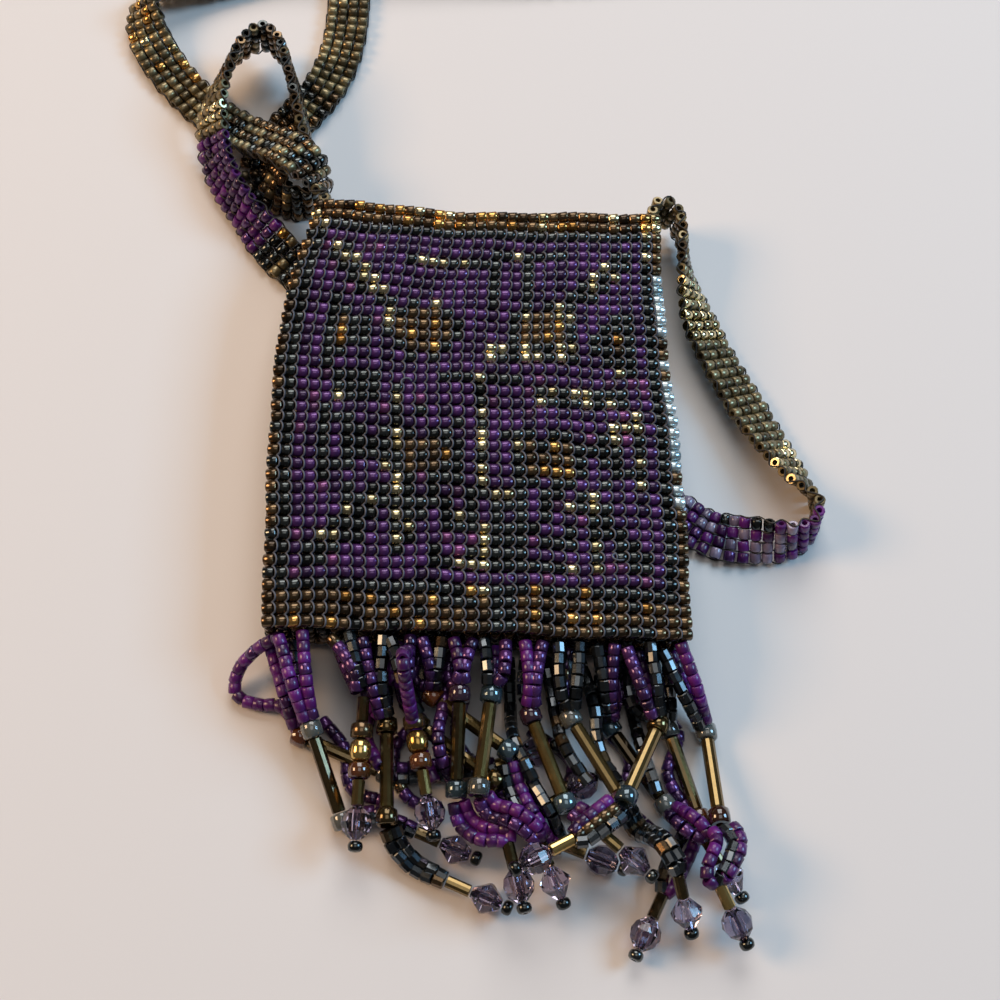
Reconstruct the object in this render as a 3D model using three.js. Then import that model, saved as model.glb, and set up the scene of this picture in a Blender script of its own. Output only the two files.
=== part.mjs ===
// A loomed bead bag lying on its back, its fringe laid out in front of it and its strap around it.
// Millimetres, +Z up, +Y toward the mouth, +X across. The bag's bottom edge is the line y = 0 while
// the pieces are made, and the finished group is moved so that the origin is under its middle.
import * as THREE from 'three';
import { mergeVertices } from 'three/addons/utils/BufferGeometryUtils.js';

const MIDDLE_X = 3.07;
const MIDDLE_Y = 12.39;

// The woven body: two panels over and under a band that is as deep as the pouch.
const WEAVE = 1.6;
const STRAP_UNDERNEATH = 1.9;
const BAND_DEPTH = 4.2;
const GAP = 0.3;
const BAG_HEIGHT = 62;
const LEFT_SIDE = [[-23.3, BAG_HEIGHT], [-26.4, 49], [-27.4, 40], [-27.2, 24], [-26.1, 0]];
const RIGHT_SIDE = [[26.2, 0], [26.2, 14], [25.2, 30], [23.9, 42], [23.3, BAG_HEIGHT]];

// The strap: four beads wide. Each route point gives x, y, height and the tilt of the weave in
// degrees, where 0 lies flat and 90 stands on edge.
const STRAP_WIDTH = 6.2;
const STRAP_STEPS = 80;
const STRAP_ROUTE = [
  // from the right end of the band, down beside the bag and back under it
  [22.6, 62.8, 5.6, 90], [23.1, 64.2, 5.5, 90], [24.8, 65, 5, 90], [26.5, 64, 4.4, 88],
  [27.3, 61.2, 4.1, 84], [27.8, 56.6, 3.7, 70], [29.8, 48.6, 2.5, 30], [35.9, 35.8, 2.1, 22],
  [41.8, 25.4, 2.9, 48], [44, 21.4, 3.3, 84], [43.2, 17.8, 3.4, 84], [40, 16.2, 3.3, 64],
  [36, 16.3, 2.8, 46], [32.4, 17, 1.7, 18], [29.4, 18.2, 0.9, 0], [25.6, 20.7, 0.9, 0],
  [-20, 51.2, 0.9, 0],
  // out on the left and round a standing loop
  [-24.6, 54.4, 0.9, 0], [-27.6, 56.7, 0.9, 0], [-30.6, 59.4, 2.3, 34], [-33.8, 63, 3.4, 62],
  [-36.6, 67.2, 3.4, 58], [-38.8, 72, 3.6, 50], [-39.8, 78, 5.2, 48], [-38.8, 84.4, 5.8, 62],
  [-36.4, 90.2, 5.8, 78], [-33.6, 92.2, 5.8, 86], [-31, 90.2, 5.8, 86], [-28.8, 84.6, 5.8, 80],
  [-27, 78, 5.2, 80],
  // a standing turn behind the bag's corner, then away from the bag
  [-25.4, 72.4, 3.8, 86], [-24.6, 67.4, 3.3, 90], [-25.6, 65, 3.3, 90], [-28.2, 65.6, 3.2, 76],
  [-31.2, 68.6, 2.5, 36], [-32.8, 72, 1.1, 4], [-31.4, 76.4, 0.9, 0], [-24.8, 87, 0.9, 0],
  [-22.4, 95, 0.9, 0], [-22.2, 118, 0.9, 0],
  // once round a wide coil
  [-22.2, 146, 0.9, 0], [-14.1, 168.2, 0.9, 0], [6.3, 180, 0.9, 0], [29.6, 175.9, 0.9, 0],
  [44.7, 157.8, 0.9, 0], [44.7, 134.2, 0.9, 0], [29.6, 116.1, 0.9, 0], [9.3, 111, 0.9, 0],
  [-5, 111, 2, 0], [-20, 111.2, 3.1, 0], [-33, 109.4, 2.4, 0],
  // back over the outgoing run to the left end of the band
  [-42, 105.8, 1.6, -12], [-48.5, 103.2, 2.4, -32], [-52, 100.6, 3, -50], [-51.4, 95.4, 2.2, -26],
  [-47.4, 88.8, 1, 0], [-40.6, 81.6, 0.9, 0], [-34.6, 76.6, 3.1, 0], [-31.2, 73.6, 5.6, 0],
  [-28, 70.4, 8.2, 0], [-25.3, 67.9, 8.8, 12], [-23.5, 66, 7.4, 52], [-22.7, 64.5, 6.2, 84],
  [-22.6, 62.8, 6, 90],
];

// The fringe, in the order in which the tassels come to rest on the floor and on one another. A
// tassel leaves the bag at root (x and height), hangs to a joint bead, turns with its bugle, bends
// on, ends in a drop. Headings are in degrees from +X.
const ROOT_Y = -1.1;
const TASSELS = [
  { name: 'tassel_02', root: [-24, 4.2], joint: [-21, -11.4], bugle: -22,
    bends: [[-6, -15.4], [-2, -15]], end: [2, -14.6], drop: 20 },
  { name: 'tassel_05', root: [-9.8, 4.2], joint: [-6.6, -10], bugle: -36,
    bends: [[4.8, -19]], end: [8.4, -19.6], drop: 32 },
  { name: 'tassel_13', root: [22.6, 4.2], joint: [24.2, -9], bugle: -72,
    bends: [[26, -23], [24.4, -26]], end: [23.4, -28.5], drop: -115 },
  { name: 'tassel_10', root: [15.8, 8], joint: [17, -9], bugle: -55,
    bends: [[25.6, -20.8]], end: [27.6, -22.4], drop: -55 },
  { name: 'tassel_04', root: [-5.4, 8], joint: [-5, -6.6], bugle: -36,
    bends: [[6.2, -17.6], [8.4, -21.4]], end: [10.2, -23.4], drop: -20 },
  { name: 'tassel_01', root: [-22.6, 8], joint: [-19.5, -11.2], bugle: -68,
    bends: [[-11.5, -20.6]], end: [-7.2, -22.4], drop: -22 },
  { name: 'short_tassel_2', root: [-9.2, 8], joint: [-8, -6.6], run: -78 },
  { name: 'tassel_03', root: [-12.6, 8], joint: [-10.5, -10.3], bugle: -87,
    bends: [[-8.8, -24.4], [-6.4, -26.6]], end: [-3.4, -28.1], drop: -22 },
  { name: 'short_tassel_1', root: [-16.6, 8], joint: [-13.4, -7.6], run: -90 },
  { name: 'tassel_06', root: [-1.6, 8], joint: [-1.8, -7], bugle: -90,
    bends: [[-0.8, -21.8], [1.6, -23.6]], end: [4.2, -23.6], drop: -75 },
  { name: 'tassel_08', root: [7, 8], joint: [6.9, -8.8], bugle: -68,
    bends: [], end: [14.6, -22.4], drop: -40 },
  { name: 'tassel_09', root: [11.4, 8], joint: [11.8, -9], bugle: -58,
    bends: [[20, -21.5], [22.2, -24.5]], end: [23.8, -27.2], drop: -70 },
  { name: 'tassel_12', root: [23.8, 8], joint: [28.9, -9.2], bugle: -86,
    bends: [[30.4, -23.8]], end: [28.6, -28], drop: -60 },
  { name: 'tassel_07', root: [2.2, 8], joint: [2, -7], bugle: -96,
    bends: [[2.4, -20.6], [5.2, -21.6]], end: [7.8, -23.6], drop: -64 },
  { name: 'tassel_11', root: [19.8, 8], joint: [22.6, -9.2], bugle: -114,
    bends: [[15.2, -22]], end: [12.6, -24], drop: -150 },
];

// Beads on one thread: where each starts, its length, its radius and its shape.
const THREAD_RADIUS = 0.4;
const STRANDS_RADIUS = 1.1;
const JOINT_RADIUS = 1.35;
const BUGLE_SPAN = 11.5;
const STRAND_CLEARANCE = 2.1;
const DROP_CLEARANCE = 0.9;
const STRAND_END_CLEARANCE = 0.6;
const DROP_HEIGHT = 20;
const SETTLING_STEPS = [0.5, 0.1];
const SAMPLE_SPACING = 0.5;
const LONG_BUGLE = [[-1, 2, JOINT_RADIUS, 'round'], [1.1, 9.3, 0.85, 'tube'],
  [10.5, 2, JOINT_RADIUS, 'round']];
const DROP = [[0, 3, 0.75, 'tube'], [3.2, 3.8, 1.9, 'crystal'], [7.2, 1.2, 0.9, 'round']];
const SHORT_RUN = [[0, 3, 0.75, 'tube'], [3.2, 1.8, JOINT_RADIUS, 'round'], [5.2, 2.6, 1.3, 'ball'],
  [8, 1.8, JOINT_RADIUS, 'round'], [10, 3, 0.75, 'tube'], [13.2, 3.8, 1.9, 'crystal'],
  [17.2, 1.2, 0.9, 'round']];
const BEAD_PROFILES = {
  tube: [[0, 1], [1, 1]],
  round: [[0, 0.78], [0.2, 1], [0.8, 1], [1, 0.78]],
  ball: [[0, 0.5], [0.25, 0.88], [0.5, 1], [0.75, 0.88], [1, 0.5]],
  crystal: [[0, 0.5], [0.32, 1], [0.68, 1], [1, 0.5]],
};

const group = new THREE.Group();

function addMesh(name, geometry) {
  geometry.deleteAttribute('normal');
  geometry.deleteAttribute('uv');
  geometry.translate(-MIDDLE_X, -MIDDLE_Y, 0);
  const mesh = new THREE.Mesh(mergeVertices(geometry, 1e-4));
  mesh.name = name;
  group.add(mesh);
}

function extrudeOutline(points, depth, height) {
  const shape = new THREE.Shape(points.map(([x, y]) => new THREE.Vector2(x, y)));
  return new THREE.ExtrudeGeometry(shape, { depth, bevelEnabled: false }).translate(0, 0, height);
}

// Bends a straight bar, made along Y from -0.5 to 0.5, so that each ring of its vertices sits at
// one station: a point, the direction along the weave's width and the direction out of the weave.
function bendBar(bar, stations) {
  const positions = bar.attributes.position;
  for (let i = 0; i < positions.count; i += 1) {
    const station = stations[Math.round((positions.getY(i) + 0.5) * (stations.length - 1))];
    const moved = station.point.clone();
    moved.addScaledVector(station.across, positions.getX(i));
    moved.addScaledVector(station.out, positions.getZ(i));
    positions.setXYZ(i, moved.x, moved.y, moved.z);
  }
  return bar;
}

function directionsAt(points, i) {
  const ahead = points[Math.min(i + 1, points.length - 1)];
  const behind = points[Math.max(i - 1, 0)];
  const along = ahead.clone().sub(behind).normalize();
  const left = new THREE.Vector3(-along.y, along.x, 0).normalize();
  return { along, left };
}

function strapStations() {
  const points = STRAP_ROUTE.map(([x, y, z]) => new THREE.Vector3(x, y, z));
  const curve = new THREE.CatmullRomCurve3(points, false, 'centripetal');
  const centres = curve.getPoints(STRAP_STEPS);
  return centres.map((point, i) => {
    const place = (i / STRAP_STEPS) * (STRAP_ROUTE.length - 1);
    const before = Math.min(Math.floor(place), STRAP_ROUTE.length - 2);
    const degrees = THREE.MathUtils.lerp(
      STRAP_ROUTE[before][3], STRAP_ROUTE[before + 1][3], place - before);
    const tilt = THREE.MathUtils.degToRad(degrees);
    const { along, left } = directionsAt(centres, i);
    const across = left.multiplyScalar(-Math.cos(tilt));
    across.z += Math.sin(tilt);
    across.addScaledVector(along, -across.dot(along)).normalize();
    const out = across.clone().cross(along);
    const reach = (STRAP_WIDTH / 2) * Math.abs(across.z) + (WEAVE / 2) * Math.abs(out.z);
    point.z = Math.max(point.z, reach);
    return { point, across, out };
  });
}

// A strand of threaded beads through straight stretches between the points given.
function strandGeometry(points) {
  const stations = points.map((point, i) => {
    const { along, left } = directionsAt(points, i);
    const across = left.negate();
    return { point, across, out: across.clone().cross(along) };
  });
  const steps = points.length - 1;
  return bendBar(new THREE.CylinderGeometry(
    STRANDS_RADIUS, STRANDS_RADIUS, 1, 8, steps), stations);
}

function beadRunGeometry(beads, start, toward) {
  const profile = [];
  for (const [from, length, radius, shape] of beads) {
    if (profile.length > 0) profile.push([THREAD_RADIUS, from]);
    for (const [place, width] of BEAD_PROFILES[shape]) {
      profile.push([radius * width, from + length * place]);
    }
    profile.push([THREAD_RADIUS, from + length]);
  }
  profile.pop();
  profile.unshift([0, profile[0][1]]);
  profile.push([0, profile[profile.length - 1][1]]);
  const lathe = new THREE.LatheGeometry(profile.map(([x, y]) => new THREE.Vector2(x, y)), 8);
  const direction = toward.clone().sub(start).normalize();
  lathe.applyQuaternion(
    new THREE.Quaternion().setFromUnitVectors(new THREE.Vector3(0, 1, 0), direction));
  return lathe.translate(start.x, start.y, start.z);
}

function headingVector(degrees) {
  const angle = THREE.MathUtils.degToRad(degrees);
  return new THREE.Vector2(Math.cos(angle), Math.sin(angle));
}

// The key points of a tassel and the spans between them. A span may cover only a part of the
// stretch between its two key points, as a crystal covers a part of its drop.
function planTassel(tassel) {
  const keys = [];
  const spans = [];
  const addKey = (x, y, height, fixed = false) => keys.push({ x, y, height, fixed }) - 1;
  const addRun = (beads, first, degrees, clearance) => {
    const heading = headingVector(degrees);
    const [lastFrom, lastLength] = beads[beads.length - 1];
    const reach = clearance + lastFrom + lastLength;
    const tip = addKey(
      keys[first].x + heading.x * reach, keys[first].y + heading.y * reach, 0);
    for (const [beadFrom, length, radius] of beads) {
      const from = (clearance + beadFrom) / reach;
      spans.push({ a: first, b: tip, from, to: from + length / reach, radius });
    }
    return tip;
  };
  addKey(tassel.root[0], ROOT_Y, tassel.root[1], true);
  const joint = new THREE.Vector2(...tassel.joint);
  if (tassel.run !== undefined) {
    const end = addKey(joint.x, joint.y, 0);
    spans.push({ a: 0, b: end, from: 0.25, to: 0.95, radius: STRANDS_RADIUS });
    return { ...tassel, keys, spans, end, tip: addRun(SHORT_RUN, end, tassel.run, 0) };
  }
  const upper = addKey(joint.x, joint.y, 0);
  const lowerPoint = joint.clone().addScaledVector(headingVector(tassel.bugle), BUGLE_SPAN);
  const lower = addKey(lowerPoint.x, lowerPoint.y, 0);
  spans.push({ a: 0, b: upper, from: 0.25, to: 1, radius: STRANDS_RADIUS });
  spans.push({ a: upper, b: lower, from: 0, to: 1, radius: LONG_BUGLE[1][2] });
  spans.push({ a: upper, b: lower, from: 0, to: 0, radius: JOINT_RADIUS });
  spans.push({ a: upper, b: lower, from: 1, to: 1, radius: JOINT_RADIUS });
  let end = lower;
  for (const [x, y] of [...tassel.bends, tassel.end]) {
    const bend = addKey(x, y, 0);
    spans.push({ a: end, b: bend, from: 0, to: 1, radius: STRANDS_RADIUS });
    end = bend;
  }
  const tip = addRun(DROP, end, tassel.drop, DROP_CLEARANCE);
  return { ...tassel, keys, spans, upper, lower, end, tip };
}

function alongSpan(keys, span, part) {
  const place = span.from + (span.to - span.from) * part;
  const a = keys[span.a];
  const b = keys[span.b];
  return {
    place,
    x: THREE.MathUtils.lerp(a.x, b.x, place),
    y: THREE.MathUtils.lerp(a.y, b.y, place),
    height: THREE.MathUtils.lerp(a.height, b.height, place),
  };
}

// How high the middle of a round thing must be here to clear one span that is already laid.
function clearanceOver(point, radius, laid) {
  const dx = laid.end.x - laid.start.x;
  const dy = laid.end.y - laid.start.y;
  const square = Math.max(dx * dx + dy * dy, 1e-9);
  const part = THREE.MathUtils.clamp(
    ((point.x - laid.start.x) * dx + (point.y - laid.start.y) * dy) / square, 0, 1);
  const distance = Math.hypot(
    point.x - laid.start.x - dx * part, point.y - laid.start.y - dy * part);
  const reach = radius + laid.radius + GAP;
  if (distance >= reach) return 0;
  const height = THREE.MathUtils.lerp(laid.start.height, laid.end.height, part);
  return height + Math.sqrt(reach * reach - distance * distance);
}

function clearsAll(tassel, laidSpans) {
  const { keys, spans } = tassel;
  for (const span of spans) {
    const length = Math.hypot(keys[span.a].x - keys[span.b].x, keys[span.a].y - keys[span.b].y);
    const samples = Math.max(1, Math.ceil((length * (span.to - span.from)) / SAMPLE_SPACING));
    for (let i = 0; i <= samples; i += 1) {
      const point = alongSpan(keys, span, i / samples);
      if (point.height < span.radius) return false;
      for (const laid of laidSpans) {
        if (point.height < clearanceOver(point, span.radius, laid)) return false;
      }
    }
  }
  return true;
}

// Lets a tassel down from above the pile, each key point in turn by one small step, until none can
// go lower.
function restTassel(tassel, laidSpans) {
  const { keys, spans } = tassel;
  for (const key of keys) if (!key.fixed) key.height = DROP_HEIGHT;
  for (const step of SETTLING_STEPS) {
    let moved = true;
    while (moved) {
      moved = false;
      for (const key of keys) {
        if (!key.fixed) {
          key.height -= step;
          if (clearsAll(tassel, laidSpans)) moved = true;
          else key.height += step;
        }
      }
    }
  }
  for (const span of spans) {
    laidSpans.push({
      start: alongSpan(keys, span, 0), end: alongSpan(keys, span, 1), radius: span.radius });
  }
}

function shortened(points, fromStart, fromEnd) {
  const trimmed = points.map((point) => point.clone());
  const last = trimmed.length - 1;
  const first = trimmed[1].clone().sub(trimmed[0]).normalize();
  const final = trimmed[last - 1].clone().sub(trimmed[last]).normalize();
  trimmed[0].addScaledVector(first, fromStart);
  trimmed[last].addScaledVector(final, fromEnd);
  return trimmed;
}

function addTassel(tassel) {
  const at = (i) => new THREE.Vector3(
    tassel.keys[i].x, tassel.keys[i].y, tassel.keys[i].height);
  const end = at(tassel.end);
  const tip = at(tassel.tip);
  if (tassel.run !== undefined) {
    addMesh(`${tassel.name}_strand`, strandGeometry(shortened([at(0), end], 0, DROP_CLEARANCE)));
    addMesh(`${tassel.name}_bead_run`, beadRunGeometry(SHORT_RUN, end, tip));
    return;
  }
  const upper = at(tassel.upper);
  const lower = at(tassel.lower);
  const bends = [];
  for (let i = tassel.lower; i <= tassel.end; i += 1) bends.push(at(i));
  addMesh(`${tassel.name}_upper_strands`,
    strandGeometry(shortened([at(0), upper], 0, STRAND_CLEARANCE)));
  addMesh(`${tassel.name}_bugle`, beadRunGeometry(LONG_BUGLE, upper, lower));
  addMesh(`${tassel.name}_lower_strands`,
    strandGeometry(shortened(bends, STRAND_CLEARANCE, STRAND_END_CLEARANCE)));
  const dropStart = end.clone().addScaledVector(tip.clone().sub(end).normalize(), DROP_CLEARANCE);
  addMesh(`${tassel.name}_drop`, beadRunGeometry(DROP, dropStart, tip));
}

// Woven body
const outline = [...LEFT_SIDE, ...RIGHT_SIDE];
const backBottom = STRAP_UNDERNEATH;
const bandBottom = backBottom + WEAVE + GAP;
const frontBottom = bandBottom + BAND_DEPTH + GAP;
addMesh('back_panel', extrudeOutline(outline, WEAVE, backBottom));
addMesh('front_panel', extrudeOutline(outline, WEAVE, frontBottom));
const insideRight = RIGHT_SIDE.map(([x, y]) => [x - WEAVE, Math.max(y, WEAVE)]).reverse();
const insideLeft = LEFT_SIDE.map(([x, y]) => [x + WEAVE, Math.max(y, WEAVE)]).reverse();
addMesh('side_band',
  extrudeOutline([...outline, ...insideRight, ...insideLeft], BAND_DEPTH, bandBottom));

// Neck strap
addMesh('neck_strap', bendBar(
  new THREE.BoxGeometry(STRAP_WIDTH, 1, WEAVE, 1, STRAP_STEPS, 1), strapStations()));

// Fringe
const laidSpans = [];
for (const tassel of TASSELS.map(planTassel)) {
  restTassel(tassel, laidSpans);
  addTassel(tassel);
}

export default group;
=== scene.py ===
# %% [markdown]
# # A loomed bead bag, its fringe and its strap
# The bag lies on its back on a pale table. Nearly all of it is small glass cylinders: they are
# woven on a loom into two panels, a side band and a strap, and threaded into the fringe. So the
# lesson is mostly about laying one small bead thousands of times along surfaces and paths. The
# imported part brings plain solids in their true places, and each step replaces some of them.

# %% Tools, frame and units
import math

import bpy
import numpy as np
from mathutils import Matrix


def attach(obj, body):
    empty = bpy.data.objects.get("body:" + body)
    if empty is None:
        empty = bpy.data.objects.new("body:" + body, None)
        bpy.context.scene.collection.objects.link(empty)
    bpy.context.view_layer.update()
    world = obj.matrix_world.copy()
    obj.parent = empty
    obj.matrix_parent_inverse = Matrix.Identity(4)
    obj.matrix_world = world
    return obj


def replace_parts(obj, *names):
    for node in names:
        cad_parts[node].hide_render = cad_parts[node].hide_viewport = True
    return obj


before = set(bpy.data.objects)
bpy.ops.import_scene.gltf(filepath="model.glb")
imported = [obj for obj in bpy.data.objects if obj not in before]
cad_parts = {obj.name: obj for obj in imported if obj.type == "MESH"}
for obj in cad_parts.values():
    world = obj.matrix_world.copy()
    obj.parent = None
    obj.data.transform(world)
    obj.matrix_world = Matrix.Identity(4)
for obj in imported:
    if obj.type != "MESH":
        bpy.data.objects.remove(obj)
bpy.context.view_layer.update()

MM = 0.001
FRAME_ORIGIN = np.array([3.07, 12.39, 0.0])
rng = np.random.default_rng(34)


def to_scene(points):
    """Takes points in millimetres from the middle of the bag's bottom edge to the frame, in
    metres."""
    return (np.asarray(points, float) - FRAME_ORIGIN) * MM


def unit(vectors):
    """Scales vectors to length one."""
    vectors = np.asarray(vectors, float)
    return vectors / np.maximum(np.linalg.norm(vectors, axis=-1, keepdims=True), 1e-12)


# %% [markdown]
# ## The camera
# It looks down at the bag from the fringe's side, about 25 degrees from straight down, through a
# lens a little longer than normal. A camera could be turned by three angles, or made to track an
# empty. Here its directions are given, so that the small roll of a hand-held view is kept.

# %% Camera
CAMERA_PLACE = (-3.85, -66.02, 193.89)
CAMERA_RIGHT = (0.9988, 0.0210, 0.0437)
CAMERA_FORWARD = (0.0310, 0.4131, -0.9101)

camera_data = bpy.data.cameras.new("camera")
camera_data.lens = 58.1
camera_data.sensor_width = 36
camera_data.clip_start = 0.01
camera = bpy.data.objects.new("camera", camera_data)
bpy.context.scene.collection.objects.link(camera)
forward = unit(CAMERA_FORWARD)
right = unit(np.asarray(CAMERA_RIGHT) - np.dot(CAMERA_RIGHT, forward) * forward)
turn = np.identity(4)
turn[:3, 0], turn[:3, 1], turn[:3, 2] = right, np.cross(right, forward), -forward
turn[:3, 3] = to_scene(CAMERA_PLACE)
camera.matrix_world = Matrix(turn.tolist())
bpy.context.scene.camera = camera
print("the camera stands", round(CAMERA_PLACE[2]), "mm above the table")

# %% [markdown]
# ## One bead, many times
# A cylinder seed bead is a slice of glass tube: straight walls, ends cut square and fire-polished
# to a small radius, and a wide hole. An array modifier or an instancer on a curve could repeat it,
# but then all the beads would be alike and exactly in line. Instead its outline, a closed loop of
# six points in (along, out), is carried round the bead's axis, and all the beads of a piece are
# worked out as one array: bead by outline point by step round the axis. Each one can lean a
# little, and each is a closed ring of faces.

# %% Bead outlines
# Each outline gives the place along the bead, from -0.5 to 0.5, and the share of its radius.
CYLINDER = np.array([(-0.5, 0.5), (-0.5, 0.88), (-0.43, 1), (0.43, 1), (0.5, 0.88), (0.5, 0.5)])
# A cut bead has the same outline, and flat sides.
CUT = CYLINDER.copy()
ROUND = np.array([(-0.5, 0.35), (-0.5, 0.62), (-0.36, 0.9), (-0.12, 1), (0.12, 1), (0.36, 0.9),
                  (0.5, 0.62), (0.5, 0.35)])
BARREL = np.array([(-0.5, 0.42), (-0.5, 0.78), (-0.4, 0.96), (0, 1), (0.4, 0.96), (0.5, 0.78),
                   (0.5, 0.42)])
TUBE = np.array([(-0.5, 0.55), (-0.5, 0.9), (-0.485, 1), (0.485, 1), (0.5, 0.9), (0.5, 0.55)])
FACETED = np.array([(-0.5, 0.2), (-0.5, 0.36), (-0.27, 0.84), (0, 1), (0.27, 0.84), (0.5, 0.36),
                    (0.5, 0.2)])
BICONE = np.array([(-0.5, 0.2), (-0.5, 0.34), (-0.05, 1), (0.05, 1), (0.5, 0.34), (0.5, 0.2)])
print("a cylinder bead's outline has", len(CYLINDER), "points, a round one's", len(ROUND))


# %% A grid of beads
def bead_grid(centres, axes, outs, lengths, radii, outline=CYLINDER, steps=10):
    """Beads as arrays. A point is centre + axis * along * length + (out * cos + side * sin) *
    share * radius, with one row for each outline point and one column for each step round. A
    cylinder's end walls and rims are flat, so its side keeps straight normals from end to end."""
    centres, axes = np.asarray(centres, float), unit(axes)
    outs = np.asarray(outs, float)
    outs = unit(outs - (outs * axes).sum(-1, keepdims=True) * axes)
    sides = np.cross(axes, outs)
    count = len(centres)
    lengths = np.broadcast_to(lengths, count)
    radii = np.broadcast_to(radii, count)
    around = np.arange(steps) * (2 * np.pi / steps)
    ring = (outs[:, None, :] * np.cos(around)[None, :, None]
            + sides[:, None, :] * np.sin(around)[None, :, None])
    along = axes[:, None, None, :] * (outline[:, 0] * lengths[:, None])[:, :, None, None]
    spread = ring[:, None, :, :] * (outline[:, 1] * radii[:, None])[:, :, None, None]
    points = centres[:, None, None, :] + along + spread
    rows, columns = len(outline), steps
    corner = np.arange(count * rows * columns).reshape(count, rows, columns)
    next_row, next_column = np.roll(corner, -1, 1), np.roll(corner, -1, 2)
    both = np.roll(next_row, -1, 2)
    faces = np.stack([corner, next_column, both, next_row], -1)
    flat = np.zeros((count, rows, columns), bool)
    flat[:, [0, rows - 2, rows - 1], :] = True
    if outline is CYLINDER:
        flat[:, [1, 3], :] = True
    if any(outline is sharp for sharp in (FACETED, BICONE, TUBE, CUT)):
        flat[:] = True
    return {"points": points.reshape(-1, 3), "faces": faces.reshape(-1, 4),
            "smooth": ~flat.reshape(-1)}


print("a cylinder bead has", 2 * 10 * len(CYLINDER), "triangles")

# %% [markdown]
# ## Threads
# The warp threads and the strands' own threads show between the beads. A curve with a bevel makes
# a thread in one step, but its mesh is only known later. So a thread is a ring carried along a
# path, worked out like the beads, and many threads join into one grid.


# %% Threads
def tube_grid(path, radius, steps=5):
    """A thread: at each path point, a ring of steps points, centre + (side * cos + over * sin) *
    radius, with the ends drawn in to nearly nothing so that the tube is closed."""
    path = np.asarray(path, float)
    along = unit(np.gradient(path, axis=0))
    up = np.array([0.0, 0.0, 1.0])
    side = np.cross(along, up)
    side = unit(np.where(np.linalg.norm(side, axis=1, keepdims=True) < 1e-4, (1, 0, 0), side))
    over = np.cross(side, along)
    width = np.full(len(path), radius)
    width[[0, -1]] = radius * 0.02
    around = np.arange(steps) * (2 * np.pi / steps)
    ring = (side[:, None, :] * np.cos(around)[None, :, None]
            + over[:, None, :] * np.sin(around)[None, :, None])
    points = path[:, None, :] + ring * width[:, None, None]
    corner = np.arange(len(path) * steps).reshape(len(path), steps)
    faces = np.stack([corner[:-1], np.roll(corner, -1, 1)[:-1], np.roll(corner, -1, 1)[1:],
                      corner[1:]], -1).reshape(-1, 4)
    return points.reshape(-1, 3), faces


def thread_grid(paths, radius, steps=5):
    """Several threads as one grid."""
    points, faces, offset = [], [], 0
    for path in paths:
        ring_points, ring_faces = tube_grid(path, radius, steps)
        points.append(ring_points)
        faces.append(ring_faces + offset)
        offset += len(ring_points)
    faces = np.concatenate(faces)
    return {"points": np.concatenate(points), "faces": faces, "smooth": np.ones(len(faces), bool)}


sample_thread = thread_grid([[(0, 0, 0), (1, 0, 0), (2, 0, 0)]], 0.1)
print("a thread of three path points has", 2 * len(sample_thread["faces"]), "triangles")

# %% [markdown]
# ## From arrays to a mesh
# A mesh can be built with bmesh, with from_pydata or with foreach_set. The last takes whole arrays,
# which is far quicker than a loop over vertices when there are thousands of beads. Each bead also
# gets a random number, stored on its points, from which the materials vary its colour.

# %% Making a piece
def add_piece(name, grids):
    """Joins bead grids into one mesh that rides the bag. Each grid is (grid, material, tints)."""
    points, faces, smooth, tints, indexes, materials = [], [], [], [], [], []
    offset = 0
    for grid, material, tint in grids:
        if material not in materials:
            materials.append(material)
        points.append(grid["points"])
        faces.append(grid["faces"] + offset)
        offset += len(grid["points"])
        smooth.append(grid["smooth"])
        tints.append(np.repeat(tint, len(grid["points"]) // len(tint)))
        indexes.append(np.full(len(grid["faces"]), materials.index(material)))
    points, faces = to_scene(np.concatenate(points)), np.concatenate(faces)
    mesh = bpy.data.meshes.new(name)
    mesh.vertices.add(len(points))
    mesh.vertices.foreach_set("co", points.ravel())
    mesh.loops.add(faces.size)
    mesh.loops.foreach_set("vertex_index", faces.ravel().astype(np.int32))
    mesh.polygons.add(len(faces))
    mesh.polygons.foreach_set("loop_start", np.arange(0, faces.size, 4, dtype=np.int32))
    mesh.polygons.foreach_set("material_index", np.concatenate(indexes).astype(np.int32))
    mesh.polygons.foreach_set("use_smooth", np.concatenate(smooth))
    mesh.update(calc_edges=True)
    attribute = mesh.attributes.new("tint", "FLOAT", "POINT")
    attribute.data.foreach_set("value", np.concatenate(tints).astype(np.float32))
    for material in materials:
        mesh.materials.append(material)
    piece = bpy.data.objects.new(name, mesh)
    bpy.context.scene.collection.objects.link(piece)
    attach(piece, "root")
    print(name, "has", 2 * len(faces), "triangles")
    return piece


# %% [markdown]
# ## Finishes
# The beads are glass under a fired glaze: purple, a near-black gunmetal and a brown bronze. Beads
# glazed champagne, amber or rose are painted highlights and silver-blue a painted reflection,
# where the real beads catch the light. One painted texture could colour them all, or each could
# have its own nodes. Since every glaze varies in the same way, from bead to bead and over each
# bead, one node group works that out, and the shader itself stays in each material.

# %% The node group for glaze
FINE_MOTTLE = 1600
BROAD_SMEAR = 700
glaze_group = bpy.data.node_groups.new("bead_glaze", "ShaderNodeTree")
for name, kind in (("Dark", "NodeSocketColor"), ("Light", "NodeSocketColor"),
                   ("Tint", "NodeSocketFloat"), ("Smooth", "NodeSocketFloat"),
                   ("Rough", "NodeSocketFloat")):
    glaze_group.interface.new_socket(name=name, in_out="INPUT", socket_type=kind)
for name, kind in (("Colour", "NodeSocketColor"), ("Roughness", "NodeSocketFloat"),
                   ("Height", "NodeSocketFloat")):
    glaze_group.interface.new_socket(name=name, in_out="OUTPUT", socket_type=kind)


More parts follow.
